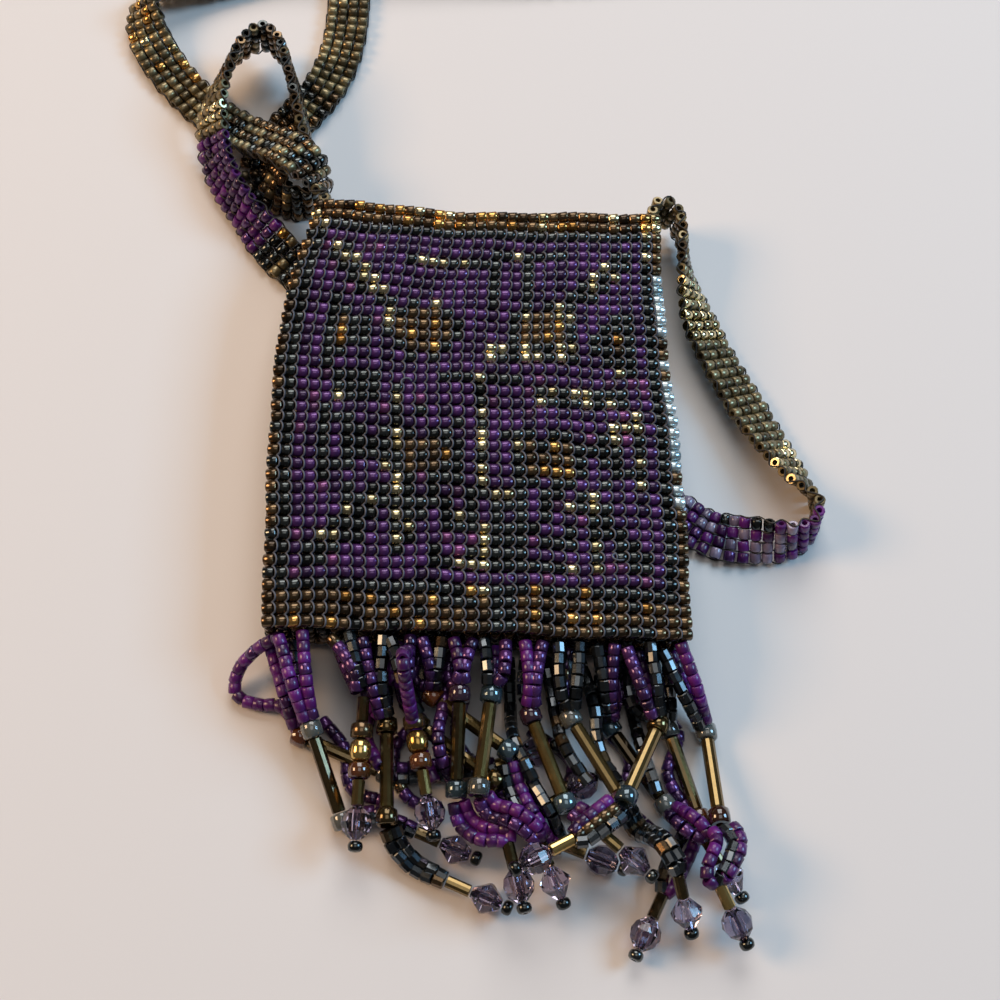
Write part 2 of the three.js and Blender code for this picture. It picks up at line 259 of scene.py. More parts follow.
def wire_glaze(group):
    """Colour = dark to light by the bead's tint and a fine mottle; roughness likewise."""
    nodes, links = group.nodes, group.links
    inlet, outlet = nodes.new("NodeGroupInput"), nodes.new("NodeGroupOutput")
    place = nodes.new("ShaderNodeTexCoord")
    mottle = nodes.new("ShaderNodeTexNoise")
    mottle.inputs["Scale"].default_value = FINE_MOTTLE
    mottle.inputs["Detail"].default_value = 3
    links.new(place.outputs["Object"], mottle.inputs["Vector"])
    blend = nodes.new("ShaderNodeMath")
    blend.operation = "MULTIPLY_ADD"
    blend.inputs[1].default_value = 0.5
    links.new(mottle.outputs["Fac"], blend.inputs[0])
    links.new(inlet.outputs["Tint"], blend.inputs[2])
    share = nodes.new("ShaderNodeMapRange")
    share.inputs["From Min"].default_value = 0.15
    share.inputs["From Max"].default_value = 1.35
    links.new(blend.outputs[0], share.inputs["Value"])
    colour = nodes.new("ShaderNodeMix")
    colour.data_type = "RGBA"
    links.new(share.outputs["Result"], colour.inputs["Factor"])
    links.new(inlet.outputs["Dark"], colour.inputs["A"])
    links.new(inlet.outputs["Light"], colour.inputs["B"])
    links.new(colour.outputs["Result"], outlet.inputs["Colour"])
    smear = nodes.new("ShaderNodeTexNoise")
    smear.inputs["Scale"].default_value = BROAD_SMEAR
    links.new(place.outputs["Object"], smear.inputs["Vector"])
    rough = nodes.new("ShaderNodeMix")
    links.new(smear.outputs["Fac"], rough.inputs["Factor"])
    links.new(inlet.outputs["Smooth"], rough.inputs["A"])
    links.new(inlet.outputs["Rough"], rough.inputs["B"])
    links.new(rough.outputs["Result"], outlet.inputs["Roughness"])
    links.new(mottle.outputs["Fac"], outlet.inputs["Height"])


wire_glaze(glaze_group)
print("glaze group of", len(glaze_group.nodes), "nodes")


# %% Glazed glass
COAT_ROUGHNESS = 0.08
BUMP_DISTANCE = 0.0002


def glaze(name, dark, light, smooth, rough, metallic=0.0, coat=0.0, transmission=0.0, bump=0.02):
    """A material on the glaze group: two colours, two roughnesses and how metallic it is."""
    material = bpy.data.materials.new(name)
    material.use_nodes = True
    nodes, links = material.node_tree.nodes, material.node_tree.links
    shader = nodes["Principled BSDF"]
    group = nodes.new("ShaderNodeGroup")
    group.node_tree = glaze_group
    tint = nodes.new("ShaderNodeAttribute")
    tint.attribute_name = "tint"
    links.new(tint.outputs["Fac"], group.inputs["Tint"])
    group.inputs["Dark"].default_value = (*dark, 1)
    group.inputs["Light"].default_value = (*light, 1)
    group.inputs["Smooth"].default_value = smooth
    group.inputs["Rough"].default_value = rough
    links.new(group.outputs["Colour"], shader.inputs["Base Color"])
    links.new(group.outputs["Roughness"], shader.inputs["Roughness"])
    bump_node = nodes.new("ShaderNodeBump")
    bump_node.inputs["Strength"].default_value = bump
    bump_node.inputs["Distance"].default_value = BUMP_DISTANCE
    links.new(group.outputs["Height"], bump_node.inputs["Height"])
    links.new(bump_node.outputs["Normal"], shader.inputs["Normal"])
    shader.inputs["Metallic"].default_value = metallic
    shader.inputs["Coat Weight"].default_value = coat
    shader.inputs["Coat Roughness"].default_value = COAT_ROUGHNESS
    shader.inputs["Transmission Weight"].default_value = transmission
    return material


purple_glass = glaze("purple_glass", (0.014, 0.004, 0.024), (0.115, 0.032, 0.172), 0.16, 0.32,
                     metallic=0.5, coat=0.4)
# Painted highlight: purple beads where they catch the light pink.
rose_highlight = glaze("rose_painted_highlight", (0.03, 0.01, 0.034), (0.25, 0.065, 0.21), 0.14, 0.28,
                    metallic=0.6, coat=0.4)
bright_purple = glaze("bright_purple_glass", (0.028, 0.003, 0.045), (0.21, 0.02, 0.3), 0.2,
                      0.42, coat=0.12, transmission=0.4)
print("the purples:", purple_glass.name, rose_highlight.name, bright_purple.name)

# %% [markdown]
# ## Metal glazes
# Gunmetal, hematite, bronze and gold beads wear a thin fired film of metal. It could be a clear
# coat over dark glass, or a dark metal. It is made a metal, because a metal's reflections take its
# own colour. The champagne and amber glazes are painted highlights, and the silver-blue one a
# painted reflection: they stand in for bronze and gunmetal beads where those catch the light,
# and as metals they also flash where they face a lamp. The smoke beads, which belong among them
# on the strap, are plain glass.

# %% Metal glazes
gunmetal = glaze("gunmetal_glaze", (0.006, 0.007, 0.006), (0.088, 0.098, 0.094), 0.13, 0.24,
                 metallic=0.95, coat=0.5)
hematite = glaze("hematite_glaze", (0.008, 0.009, 0.011), (0.1, 0.115, 0.125), 0.17, 0.3,
                 metallic=0.95, coat=0.6)
bronze = glaze("bronze_glaze", (0.018, 0.011, 0.006), (0.21, 0.13, 0.06), 0.14, 0.28,
               metallic=0.85, coat=0.3)
olive_bronze = glaze("olive_bronze_glaze", (0.06, 0.045, 0.022), (0.33, 0.26, 0.135), 0.2,
                     0.42, metallic=0.65, coat=0.1)
smoke = glaze("smoke_glass", (0.1, 0.07, 0.13), (0.42, 0.34, 0.48), 0.14, 0.3, coat=0.5,
              transmission=0.3)
# Painted highlight: a pale gold metal for bronze and gunmetal beads where they catch the light.
champagne_highlight = glaze("champagne_painted_highlight", (0.22, 0.17, 0.08), (1.0, 0.86, 0.52), 0.12, 0.24,
                  metallic=1.0)
# Painted highlight: an amber metal for bronze beads where they catch the light.
amber = glaze("amber_painted_highlight", (0.16, 0.07, 0.015), (0.82, 0.46, 0.14), 0.12, 0.26, metallic=0.95)
# Painted reflection of the cool light on the right, in the beads of the panel's right edge column.
silver_blue_reflection = glaze("silver_blue_painted_reflection", (0.22, 0.32, 0.36), (0.9, 1.0, 1.0), 0.14, 0.26,
                    metallic=0.7)
olive_gold = glaze("olive_gold_lustre", (0.02, 0.012, 0.004), (0.22, 0.145, 0.045), 0.1, 0.2,
                   metallic=0.9, coat=0.5)
bright_gold = glaze("bright_gold_lustre", (0.2, 0.11, 0.02), (0.8, 0.55, 0.2), 0.1, 0.22,
                    metallic=0.95)
print(len(bpy.data.materials), "materials with the metal glazes")

# %% [markdown]
# ## Clear glass and thread
# The drops are cut lilac crystal. The joint beads are polished glass, nearly black inside, with a
# bright edge. All of them could be fully clear, but then the joints would look pale. So only the
# crystal lets all light through, and the others are mostly dark glass under a clear coat. The
# threads are matt.

# %% Clear glass and thread
lilac_crystal = glaze("lilac_crystal", (0.3, 0.25, 0.34), (0.62, 0.53, 0.68), 0.02, 0.05,
                      transmission=1.0, bump=0.0)
clear_glass = glaze("clear_bead_glass", (0.02, 0.02, 0.018), (0.18, 0.19, 0.17), 0.04, 0.1,
                    coat=1.0, transmission=0.4)
amber_glass = glaze("amber_bead_glass", (0.02, 0.005, 0.002), (0.2, 0.06, 0.012), 0.04, 0.1,
                    coat=1.0, transmission=0.3)
rainbow_glass = glaze("rainbow_bead_glass", (0.01, 0.02, 0.025), (0.09, 0.15, 0.18), 0.04, 0.12,
                      metallic=0.6, coat=1.0)
rose_glass = glaze("rose_bead_glass", (0.02, 0.006, 0.014), (0.15, 0.07, 0.12), 0.04, 0.1,
                   coat=1.0, transmission=0.3)
thread = glaze("loom_thread", (0.035, 0.038, 0.048), (0.14, 0.15, 0.19), 0.45, 0.65)
dark_thread = glaze("strap_thread", (0.012, 0.01, 0.009), (0.06, 0.05, 0.04), 0.5, 0.7)
print(len(bpy.data.materials), "materials in all")

# %% [markdown]
# ## The strap
# The strap is a loomed strip four beads wide. From the right end of the side band it hangs beside
# the bag, turns back under it, stands in a loop beyond the left corner, goes away to a coil, and
# comes back to the left end of the band. A cloth simulation could lay it, but it would not settle
# where this one lies. So its route is listed: the points give the middle of the strip and
# its tilt, and the strip stands as high as its tilt needs.

# %% The strap's route
# x, y and height in millimetres from the bag's bottom edge, and the tilt of the weave in degrees.
STRAP_ROUTE = np.array([
    (22.6, 62.8, 5.6, 90), (23.1, 64.2, 5.5, 90), (24.8, 65, 5, 90), (26.5, 64, 4.4, 88),
    (27.3, 61.2, 4.1, 84), (27.8, 56.6, 3.7, 70), (29.8, 48.6, 2.5, 30), (35.9, 35.8, 2.1, 22),
    (41.8, 25.4, 2.9, 48), (44, 21.4, 3.3, 84), (43.2, 17.8, 3.4, 84), (40, 16.2, 3.3, 64),
    (36, 16.3, 2.8, 46), (32.4, 17, 1.7, 18), (29.4, 18.2, 0.9, 0), (25.6, 20.7, 0.9, 0),
    (-20, 51.2, 0.9, 0),
    (-24.6, 54.4, 0.9, 0), (-27.6, 56.7, 0.9, 0), (-30.6, 59.4, 2.3, 34), (-33.8, 63, 3.4, 62),
    (-36.6, 67.2, 3.4, 58), (-38.8, 72, 3.6, 50), (-39.8, 78, 5.2, 48), (-38.8, 84.4, 5.8, 62),
    (-36.4, 90.2, 5.8, 78), (-33.6, 92.2, 5.8, 86), (-31, 90.2, 5.8, 86), (-28.8, 84.6, 5.8, 80),
    (-27, 78, 5.2, 80),
    (-25.4, 72.4, 3.8, 86), (-24.6, 67.4, 3.3, 90), (-25.6, 65, 3.3, 90), (-28.2, 65.6, 3.2, 76),
    (-31.2, 68.6, 2.5, 36), (-32.8, 72, 1.1, 4), (-31.4, 76.4, 0.9, 0), (-24.8, 87, 0.9, 0),
    (-22.4, 95, 0.9, 0), (-22.2, 118, 0.9, 0),
    (-22.2, 146, 0.9, 0), (-14.1, 168.2, 0.9, 0), (6.3, 180, 0.9, 0), (29.6, 175.9, 0.9, 0),
    (44.7, 157.8, 0.9, 0), (44.7, 134.2, 0.9, 0), (29.6, 116.1, 0.9, 0), (9.3, 111, 0.9, 0),
    (-5, 111, 2, 0), (-20, 111.2, 3.1, 0), (-33, 109.4, 2.4, 0),
    (-42, 105.8, 1.6, -12), (-48.5, 103.2, 2.4, -32), (-52, 100.6, 3, -50),
    (-51.4, 95.4, 2.2, -26), (-47.4, 88.8, 1, 0), (-40.6, 81.6, 0.9, 0), (-34.6, 76.6, 3.1, 0),
    (-31.2, 73.6, 5.6, 0), (-28, 70.4, 8.2, 0), (-25.3, 67.9, 8.8, 12), (-23.5, 66, 7.4, 52),
    (-22.7, 64.5, 6.2, 84), (-22.6, 62.8, 6, 90),
])
STRAP_WIDTH = 6.2
WEAVE = 1.6
SEED_RADIUS = 0.76
SEED_LENGTH = 1.3
ROW_STEP = 1.56
print(len(STRAP_ROUTE), "points on the strap's route")


# %% A smooth curve
def smooth_route(points, samples):
    """A centripetal Catmull-Rom curve through the points: on each stretch a cubic whose slopes at
    its ends are weighed by the square roots of the distances between the points."""
    points = np.asarray(points, float)
    padded = np.vstack([2 * points[0] - points[1], points, 2 * points[-1] - points[-2]])
    place = np.linspace(0, len(points) - 1, samples)
    first = np.minimum(place.astype(int), len(points) - 2)
    share = (place - first)[:, None]
    p0, p1, p2, p3 = (padded[first + i] for i in range(4))
    d0, d1, d2 = (np.sqrt(np.linalg.norm(b - a, axis=1, keepdims=True))
                  for a, b in ((p0, p1), (p1, p2), (p2, p3)))
    slope1 = ((p1 - p0) / d0 - (p2 - p0) / (d0 + d1) + (p2 - p1) / d1) * d1
    slope2 = ((p2 - p1) / d1 - (p3 - p1) / (d1 + d2) + (p3 - p2) / d2) * d1
    return (p1 + slope1 * share + (3 * (p2 - p1) - 2 * slope1 - slope2) * share**2
            + (2 * (p1 - p2) + slope1 + slope2) * share**3)


dense = smooth_route(STRAP_ROUTE[:, :3], 24 * len(STRAP_ROUTE))
print(len(dense), "points on the smooth curve")


# %% Even steps and a strip's directions
def even_steps(path, spacing, *others):
    """Resamples a path, and what goes along it, at even steps of its length."""
    lengths = np.concatenate([[0], np.cumsum(np.linalg.norm(np.diff(path, axis=0), axis=1))])
    count = max(2, round(lengths[-1] / spacing) + 1)
    marks = np.linspace(0, lengths[-1], count)
    return [np.stack([np.interp(marks, lengths, column) for column in np.atleast_2d(a.T)], 1)
            for a in (path, *others)]


def strip_directions(path, tilt):
    """The direction along a strip, across its width, and out of its face, for a tilt in degrees
    from lying flat."""
    along = unit(np.gradient(path, axis=0))
    left = unit(np.stack([-along[:, 1], along[:, 0], np.zeros(len(along))], 1))
    angle = np.radians(tilt)[:, None]
    across = -left * np.cos(angle) + np.array([0, 0, 1.0]) * np.sin(angle)
    across = unit(across - (across * along).sum(1, keepdims=True) * along)
    return along, across, np.cross(across, along)


dense_tilt = np.interp(np.linspace(0, len(STRAP_ROUTE) - 1, len(dense)),
                       np.arange(len(STRAP_ROUTE)), STRAP_ROUTE[:, 3])
_, across, out = strip_directions(dense, dense_tilt)
print("the strip's tilt goes from", round(dense_tilt.min()), "to", round(dense_tilt.max()))

# %% The strap's path
reach = STRAP_WIDTH / 2 * np.abs(across[:, 2]) + WEAVE / 2 * np.abs(out[:, 2])
dense[:, 2] = np.maximum(dense[:, 2], reach)
strap_path, strap_tilt = even_steps(dense, ROW_STEP, dense_tilt)
strap_tilt = strap_tilt[:, 0]
strap_length = np.linalg.norm(np.diff(strap_path, axis=0), axis=1).sum()
print("strap", round(strap_length, 1), "mm in", len(strap_path), "rows")


# %% [markdown]
# ## The strap's colours
# The strip changes colour along its length, in stretches of bronze, gunmetal and purple. Where it
# catches the light beside the bag, and in a few other places, beads glazed champagne or amber are
# painted highlights. A texture along the strip could do this, but a real bead has one glaze all
# over. So each bead is given its glaze by its distance along the strip, and a random share of a
# stretch is turned to another.

# %% Strap colours
# The champagne, amber and rose kinds are painted highlights and the silver kind is a painted
# reflection of the cool light; the others are the beads' own glazes.
PURPLE, GUNMETAL, BRONZE, CHAMPAGNE_HIGHLIGHT, AMBER_HIGHLIGHT, SILVER_REFLECTION, BRIGHT, OLIVE, SMOKE, ROSE_HIGHLIGHT = range(10)
GLAZES = [purple_glass, gunmetal, bronze, champagne_highlight, amber, silver_blue_reflection, bright_purple,
          olive_bronze, smoke, rose_highlight]


def mix_and_highlight(kinds, where, kind, share):
    """Turns a random share of the beads in a place to another glaze. Gunmetal, bronze, purple and
    smoke mix real bead colours; champagne, amber and rose are painted highlights, and silver-blue a
    painted reflection.
    """
    kinds[where & (rng.random(kinds.shape) < share)] = kind


STRAP_BEADS = 4
PURPLE_STRETCHES = [(54, 120), (144, 163)]
# From and to in millimetres along the strap, the glaze, and its share of the beads there. The
# champagne and amber stretches are painted highlights; the others mix real bead colours.
STRETCHES = [
    (57, 90, PURPLE, 0.2), (59, 84, SMOKE, 0.45), (61, 90, GUNMETAL, 0.12),
    (144, 163, PURPLE, 0.4), (6, 15, BRONZE, 0.5), (120, 144, GUNMETAL, 0.5),
    (15, 23.5, CHAMPAGNE_HIGHLIGHT, 0.9), (40, 48, CHAMPAGNE_HIGHLIGHT, 0.35), (163, 171, CHAMPAGNE_HIGHLIGHT, 0.5),
    (126, 144, AMBER_HIGHLIGHT, 0.08), (520, 545, AMBER_HIGHLIGHT, 0.2), (528, 550, CHAMPAGNE_HIGHLIGHT, 0.16),
    (171, 240, GUNMETAL, 0.45), (171, 240, BRONZE, 0.5), (552, 600, BRONZE, 0.5),
    (552, 600, GUNMETAL, 0.2),
]


def strap_kinds(rows):
    """The glaze of each bead of the strap, four to a row: two purple stretches in the olive, and
    then the mixed ones in turn."""
    distance = np.linspace(0, strap_length, rows)[:, None] * np.ones(STRAP_BEADS)
    kinds = np.full((rows, STRAP_BEADS), OLIVE)
    for start, end in PURPLE_STRETCHES:
        kinds[(distance > start) & (distance < end)] = BRIGHT
    for start, end, kind, share in STRETCHES:
        mix_and_highlight(kinds, (distance > start) & (distance < end), kind, share)
    return kinds


print(len(STRETCHES), "mixed stretches in", round(strap_length), "mm of strap")


# %% The strap's beads
def grids_by_glaze(kinds, centres, axes, outs, lengths, steps=10):
    """One grid of beads for each glaze that is used, with a random tint for each bead."""
    grids = []
    for kind in np.unique(kinds):
        pick = kinds == kind
        grid = bead_grid(centres[pick], axes[pick], outs[pick],
                         lengths[pick] if np.ndim(lengths) else lengths, SEED_RADIUS, steps=steps)
        grids.append((grid, GLAZES[kind], rng.random(pick.sum())))
    return grids


def add_strap_beads(along, across, out):
    """Beads four to a row, spaced across the strip, each leaning a little its own way."""
    offsets = (np.arange(STRAP_BEADS) - (STRAP_BEADS - 1) / 2) * (STRAP_WIDTH / STRAP_BEADS)
    centres = (strap_path[:, None, :] + across[:, None, :] * offsets[None, :, None])
    centres = centres + out[:, None, :] * rng.normal(0, 0.05, (len(along), STRAP_BEADS, 1))
    axes = across[:, None, :] + rng.normal(0, 0.05, centres.shape)
    outs = np.repeat(out[:, None, :], STRAP_BEADS, 1)
    kinds = strap_kinds(len(along))
    return add_piece("neck_strap_beads", grids_by_glaze(kinds, centres, axes, outs, SEED_LENGTH))


along, across, out = strip_directions(strap_path, strap_tilt)
neck_strap = add_strap_beads(along, across, out)

# %% The strap's threads
STRAP_WARP_RADIUS = 0.11
STRAP_WARP_WAVE = 0.62


def add_strap_threads(across, out):
    """The warp threads: on each line between the beads, the strip's path plus a sine wave out of
    its face, one half wave to a row."""
    step = np.arange(0, len(strap_path) - 1, 0.2)
    rows = np.arange(len(strap_path))

    def blended(values):
        return np.stack([np.interp(step, rows, values[:, k]) for k in range(3)], 1)

    paths = []
    for line in range(-2, 3):
        wave = np.sin(step * np.pi + line)[:, None]
        paths.append(blended(strap_path) + blended(across) * (line * STRAP_WIDTH / STRAP_BEADS)
                     + blended(out) * wave * STRAP_WARP_WAVE)
    return add_piece("neck_strap_threads", [
        (thread_grid(paths, STRAP_WARP_RADIUS, 4), dark_thread, np.array([0.4]))])


strap_threads = add_strap_threads(across, out)
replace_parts(neck_strap, "neck_strap")

# %% [markdown]
# ## The woven panels
# A loomed panel is a grid: 34 beads across and 38 rows, each bead lying across the bag, with the
# warp threads running between the columns. The sheet isn't flat: it ripples, its top edge sags
# between the corners, and its sides roll down toward the band. A plane with a bead texture would
# be lighter, but the beads stand out against the light at every edge. So the panel is a surface,
# point(column, row), and real beads are laid on it with their axes across the columns.

# %% The panel's surface
COLUMNS, ROWS = 34, 38
BAG_HEIGHT = 62
LEFT_SIDE = np.array([(-23.3, 62), (-26.4, 49), (-27.4, 40), (-27.2, 24), (-26.1, 0)])
RIGHT_SIDE = np.array([(26.2, 0), (26.2, 14), (25.2, 30), (23.9, 42), (23.3, 62)])
FRONT_HEIGHT = 9.1
BACK_HEIGHT = 2.7
MOUTH_SAG = 1.1
EDGE_ROLL = 0.5


def side_x(side, y):
    """The x of one side of the bag at each y, softened where its outline turns."""
    order = np.argsort(side[:, 1])
    heights, places = side[order, 1], side[order, 0]
    spread = [np.interp(y + step, heights, places) for step in (-6, -3, 0, 3, 6)]
    return np.mean(spread, 0)


def panel_point(column, row, front=True):
    """A point of a panel for fractions of a column and row, with row 0 at the mouth: x runs from
    side to side, y down the bag, and the height ripples slowly and drops near the sides."""
    across = (column + 0.5) / COLUMNS
    down = (row + 0.5) / ROWS
    y = BAG_HEIGHT * (1 - down)
    y = y - MOUTH_SAG * np.sin(np.pi * across) * np.exp(-down * 5)
    y = y + 0.14 * np.sin(row * 0.9 + column * 0.35) + 0.12 * np.sin(column * 0.8 + row * 0.12)
    left, right = side_x(LEFT_SIDE, y), side_x(RIGHT_SIDE, y)
    x = left + (right - left) * across + 0.1 * np.sin(row * 0.7 + column * 0.4)
    ripple = 0.16 * np.sin(across * 9 + down * 4) + 0.12 * np.sin(down * 11 + across * 3)
    edge = np.minimum(across, 1 - across)
    roll = -EDGE_ROLL * np.exp(-edge * 26)
    if front:
        return np.stack([x, y, FRONT_HEIGHT + ripple + roll], -1)
    return np.stack([x, y, BACK_HEIGHT - 0.3 * ripple - 0.3 * roll], -1)


for place, row in (("mouth", 0), ("bottom", ROWS - 1)):
    first_bead, last_bead = panel_point(np.array([0, COLUMNS - 1]), np.array([row, row]))
    print("across the", place, round(last_bead[0] - first_bead[0], 1), "mm from bead to bead")

# %% [markdown]
# ## The pattern
# Four mirrored quarters: a bronze border with a gunmetal line inside it, a purple field, gunmetal
# diagonals, and in each quarter a flower with a bronze heart. It could be painted as an image. It
# is drawn by rules on the column and the row, as a weaver charts it, so nothing is stored bead by
# bead and one chart serves both panels.

# %% The chart's lines
# Each line is the (column, row) of its two ends.
DIAGONALS = [((3, 4), (9, 9.5)), ((30, 4), (24, 9.5)), ((9, 26), (3, 32)), ((25, 26), (30, 32))]
BARS = [((10, 5), (18, 5)), ((18, 4), (24, 4)), ((18, 5), (18, 9)), ((21, 5), (21, 9)),
        ((18, 13.5), (25, 13.5)), ((10, 17), (10, 31)), ((17, 17), (17, 26)), ((26, 28), (26, 32)),
        ((13, 32), (24, 32)), ((14, 16), (20, 16)), ((6, 26), (6, 30))]
WIDE_BAR = ((22, 17.5), (29, 17.5))
# The middle of each flower, and the tip's column, the base's column and the row of each triangle.
FLOWERS = [(12, 11.5), (22.4, 11.8), (12, 23), (22.4, 23)]
TRIANGLES = [(8, 4, 12), (26, 30, 12.5), (8.5, 4, 22), (25.5, 30, 22)]
column, row = np.meshgrid(np.arange(COLUMNS), np.arange(ROWS))


def chart_line(start, end, width=0.6):
    """The beads whose distance to the segment between two places is under the width."""
    start, run = np.array(start, float), np.subtract(end, start).astype(float)
    from_start = np.stack([column - start[0], row - start[1]], -1)
    share = np.clip(from_start @ run / max(run @ run, 1e-9), 0, 1)
    return np.linalg.norm(from_start - share[..., None] * run, axis=-1) < width


print("the bars cover", sum(chart_line(*bar).sum() for bar in BARS), "of", column.size, "beads")


# %% The chart
def panel_kinds():
    """The glaze of every bead of a panel: lines, then flowers, each an oval ring round a heart,
    then triangles, bars and the border, with some gunmetal mixed in at random."""
    kinds = np.full(column.shape, PURPLE)
    for start, end in DIAGONALS:
        kinds[chart_line(start, end, 0.95)] = GUNMETAL
    # four flowers, each a broken ring round a bronze heart
    for middle_column, middle_row in FLOWERS:
        ring = np.hypot((column - middle_column) / 1.15, row - middle_row)
        kinds[(ring > 2) & (ring < 2.9) & (np.abs(column - middle_column) > 0.6)] = GUNMETAL
        kinds[ring < 1.9] = BRONZE
    # side triangles that point inward, the right pair with a purple heart
    for tip, base, middle in TRIANGLES:
        share = (column - tip) / (base - tip)
        inside = (share > 0) & (share < 1.1) & (np.abs(row - middle) < 0.6 + 2.6 * share)
        kinds[inside] = GUNMETAL
        kinds[inside & (share > 0.6) & (share < 0.95) & (np.abs(row - middle) < 1.2)] = (
            PURPLE if middle > 20 else BRONZE)
    # bars and stems between the flowers
    for start, end in BARS:
        kinds[chart_line(start, end)] = GUNMETAL
    kinds[chart_line(*WIDE_BAR, 0.9)] = GUNMETAL
    kinds[(column > 4) & (column < 9) & (row > 15) & (row < 19)] = GUNMETAL
    # the lower middle is worked darker, gunmetal mixed into the purple
    lower = (column > 9) & (column < 25) & (row > 25) & (row < 32)
    kinds[lower & (rng.random(kinds.shape) < 0.55)] = GUNMETAL
    field = (column > 3) & (column < 31) & (row > 18) & (row < 32)
    kinds[field & (rng.random(kinds.shape) < 0.1)] = GUNMETAL
    # border
    kinds[(row == 2) | (row == 34) | (column < 2) | (column == 32)] = GUNMETAL
    kinds[(row < 2) | (row > 34)] = BRONZE
    kinds[(column == 33) | ((column == 0) & (row % 3 > 0))] = BRONZE
    print("chart:", (kinds == PURPLE).sum(), "purple", (kinds == GUNMETAL).sum(), "gunmetal",
          (kinds == BRONZE).sum(), "bronze")
    return kinds


# %% [markdown]
# ## Beads that catch the light
# On the real panel single beads flash champagne, amber, rose or silver, mostly along the gunmetal
# lines and down the right edge. A sharper light would make its own flashes, but in other places
# when the view moves. Here the flashes are painted: a share of the beads in each place is given a
# brighter glaze, drawn at random with a fixed seed, as a painted highlight, and down the right
# edge as a painted reflection of the cool light.

# %% Bright beads
CHART_MIDDLE = (16.7, 17.4)


def add_glints(kinds):
    """Paints highlights on single beads of the front, mostly along the gunmetal lines, and a
    painted reflection down the right edge; it also mixes gunmetal into the bottom border.
    """
    across, down = column - CHART_MIDDLE[0], row - CHART_MIDDLE[1]
    dark, heart = kinds == GUNMETAL, kinds == BRONZE
    # Champagne, amber and rose beads are painted highlights and the silver column a painted
    # reflection; only the gunmetal in the bottom rows is a mix of real bead colours.
    mix_and_highlight(kinds, (row < 2), AMBER_HIGHLIGHT, 0.2)
    mix_and_highlight(kinds, (row < 2), CHAMPAGNE_HIGHLIGHT, 0.14)
    mix_and_highlight(kinds, (row > 34), GUNMETAL, 0.25)
    mix_and_highlight(kinds, (row > 33), AMBER_HIGHLIGHT, 0.07)
    mix_and_highlight(kinds, heart & (row > 3) & (row < 33) & (column < 32) & (column > 0), AMBER_HIGHLIGHT, 0.22)
    mix_and_highlight(kinds, dark & (np.abs(np.abs(across) + down) < 1.6) & (row < 12), CHAMPAGNE_HIGHLIGHT, 0.35)
    mix_and_highlight(kinds, dark & (np.abs(row - 13.5) < 0.7) & (column > 17) & (column < 26), CHAMPAGNE_HIGHLIGHT, 0.5)
    mix_and_highlight(kinds, dark & (row == 5) & (column > 9) & (column < 19), CHAMPAGNE_HIGHLIGHT, 0.5)
    mix_and_highlight(kinds, dark & (np.abs(row - 17.5) < 1) & (column > 21) & (column < 32), CHAMPAGNE_HIGHLIGHT, 0.3)
    mix_and_highlight(kinds, dark & (column > 28) & (column < 31) & (row > 18) & (row < 27), CHAMPAGNE_HIGHLIGHT, 0.4)
    mix_and_highlight(kinds, dark & ((column == 10) | (column == 17)) & (row > 14), CHAMPAGNE_HIGHLIGHT, 0.28)
    mix_and_highlight(kinds, dark & (column > 1) & (column < 32) & (row > 3) & (row < 33), CHAMPAGNE_HIGHLIGHT, 0.055)
    mix_and_highlight(kinds, dark & (column > 1) & (column < 32) & (row > 14) & (row < 33), CHAMPAGNE_HIGHLIGHT, 0.05)
    # Purple beads that catch the light pink: painted highlights.
    mix_and_highlight(kinds, (kinds == PURPLE) & (row > 15), ROSE_HIGHLIGHT, 0.1)
    mix_and_highlight(kinds, (kinds == PURPLE) & (column < 9), ROSE_HIGHLIGHT, 0.08)
    # The right edge column: a painted reflection of the cool light.
    mix_and_highlight(kinds, (column == 33) & (row > 5) & (row < 27), SILVER_REFLECTION, 0.85)
    mix_and_highlight(kinds, (column > 31) & (row < 5), CHAMPAGNE_HIGHLIGHT, 0.35)
    # The champagne and amber counts are beads with painted highlights.
    print("front:", (kinds == CHAMPAGNE_HIGHLIGHT).sum(), "champagne beads", (kinds == AMBER_HIGHLIGHT).sum(), "amber")
    return kinds


# %% Laying a panel
PANEL_WARP_RADIUS = 0.12


def loose_curl(column, row, degrees):
    """The end of a thread that has worked out of the weave: an arc that opens as it goes, a little
    above the beads."""
    turn = np.linspace(0, 3.6, 16)
    size = 0.35 + 0.22 * turn
    flat = np.stack([np.cos(turn + math.radians(degrees)) * size,
                     np.sin(turn + math.radians(degrees)) * size * 0.7], 1)
    rise = 0.75 + 0.25 * np.sin(turn * 0.8)
    return panel_point(np.array(column), np.array(row)) + np.column_stack([flat, rise])


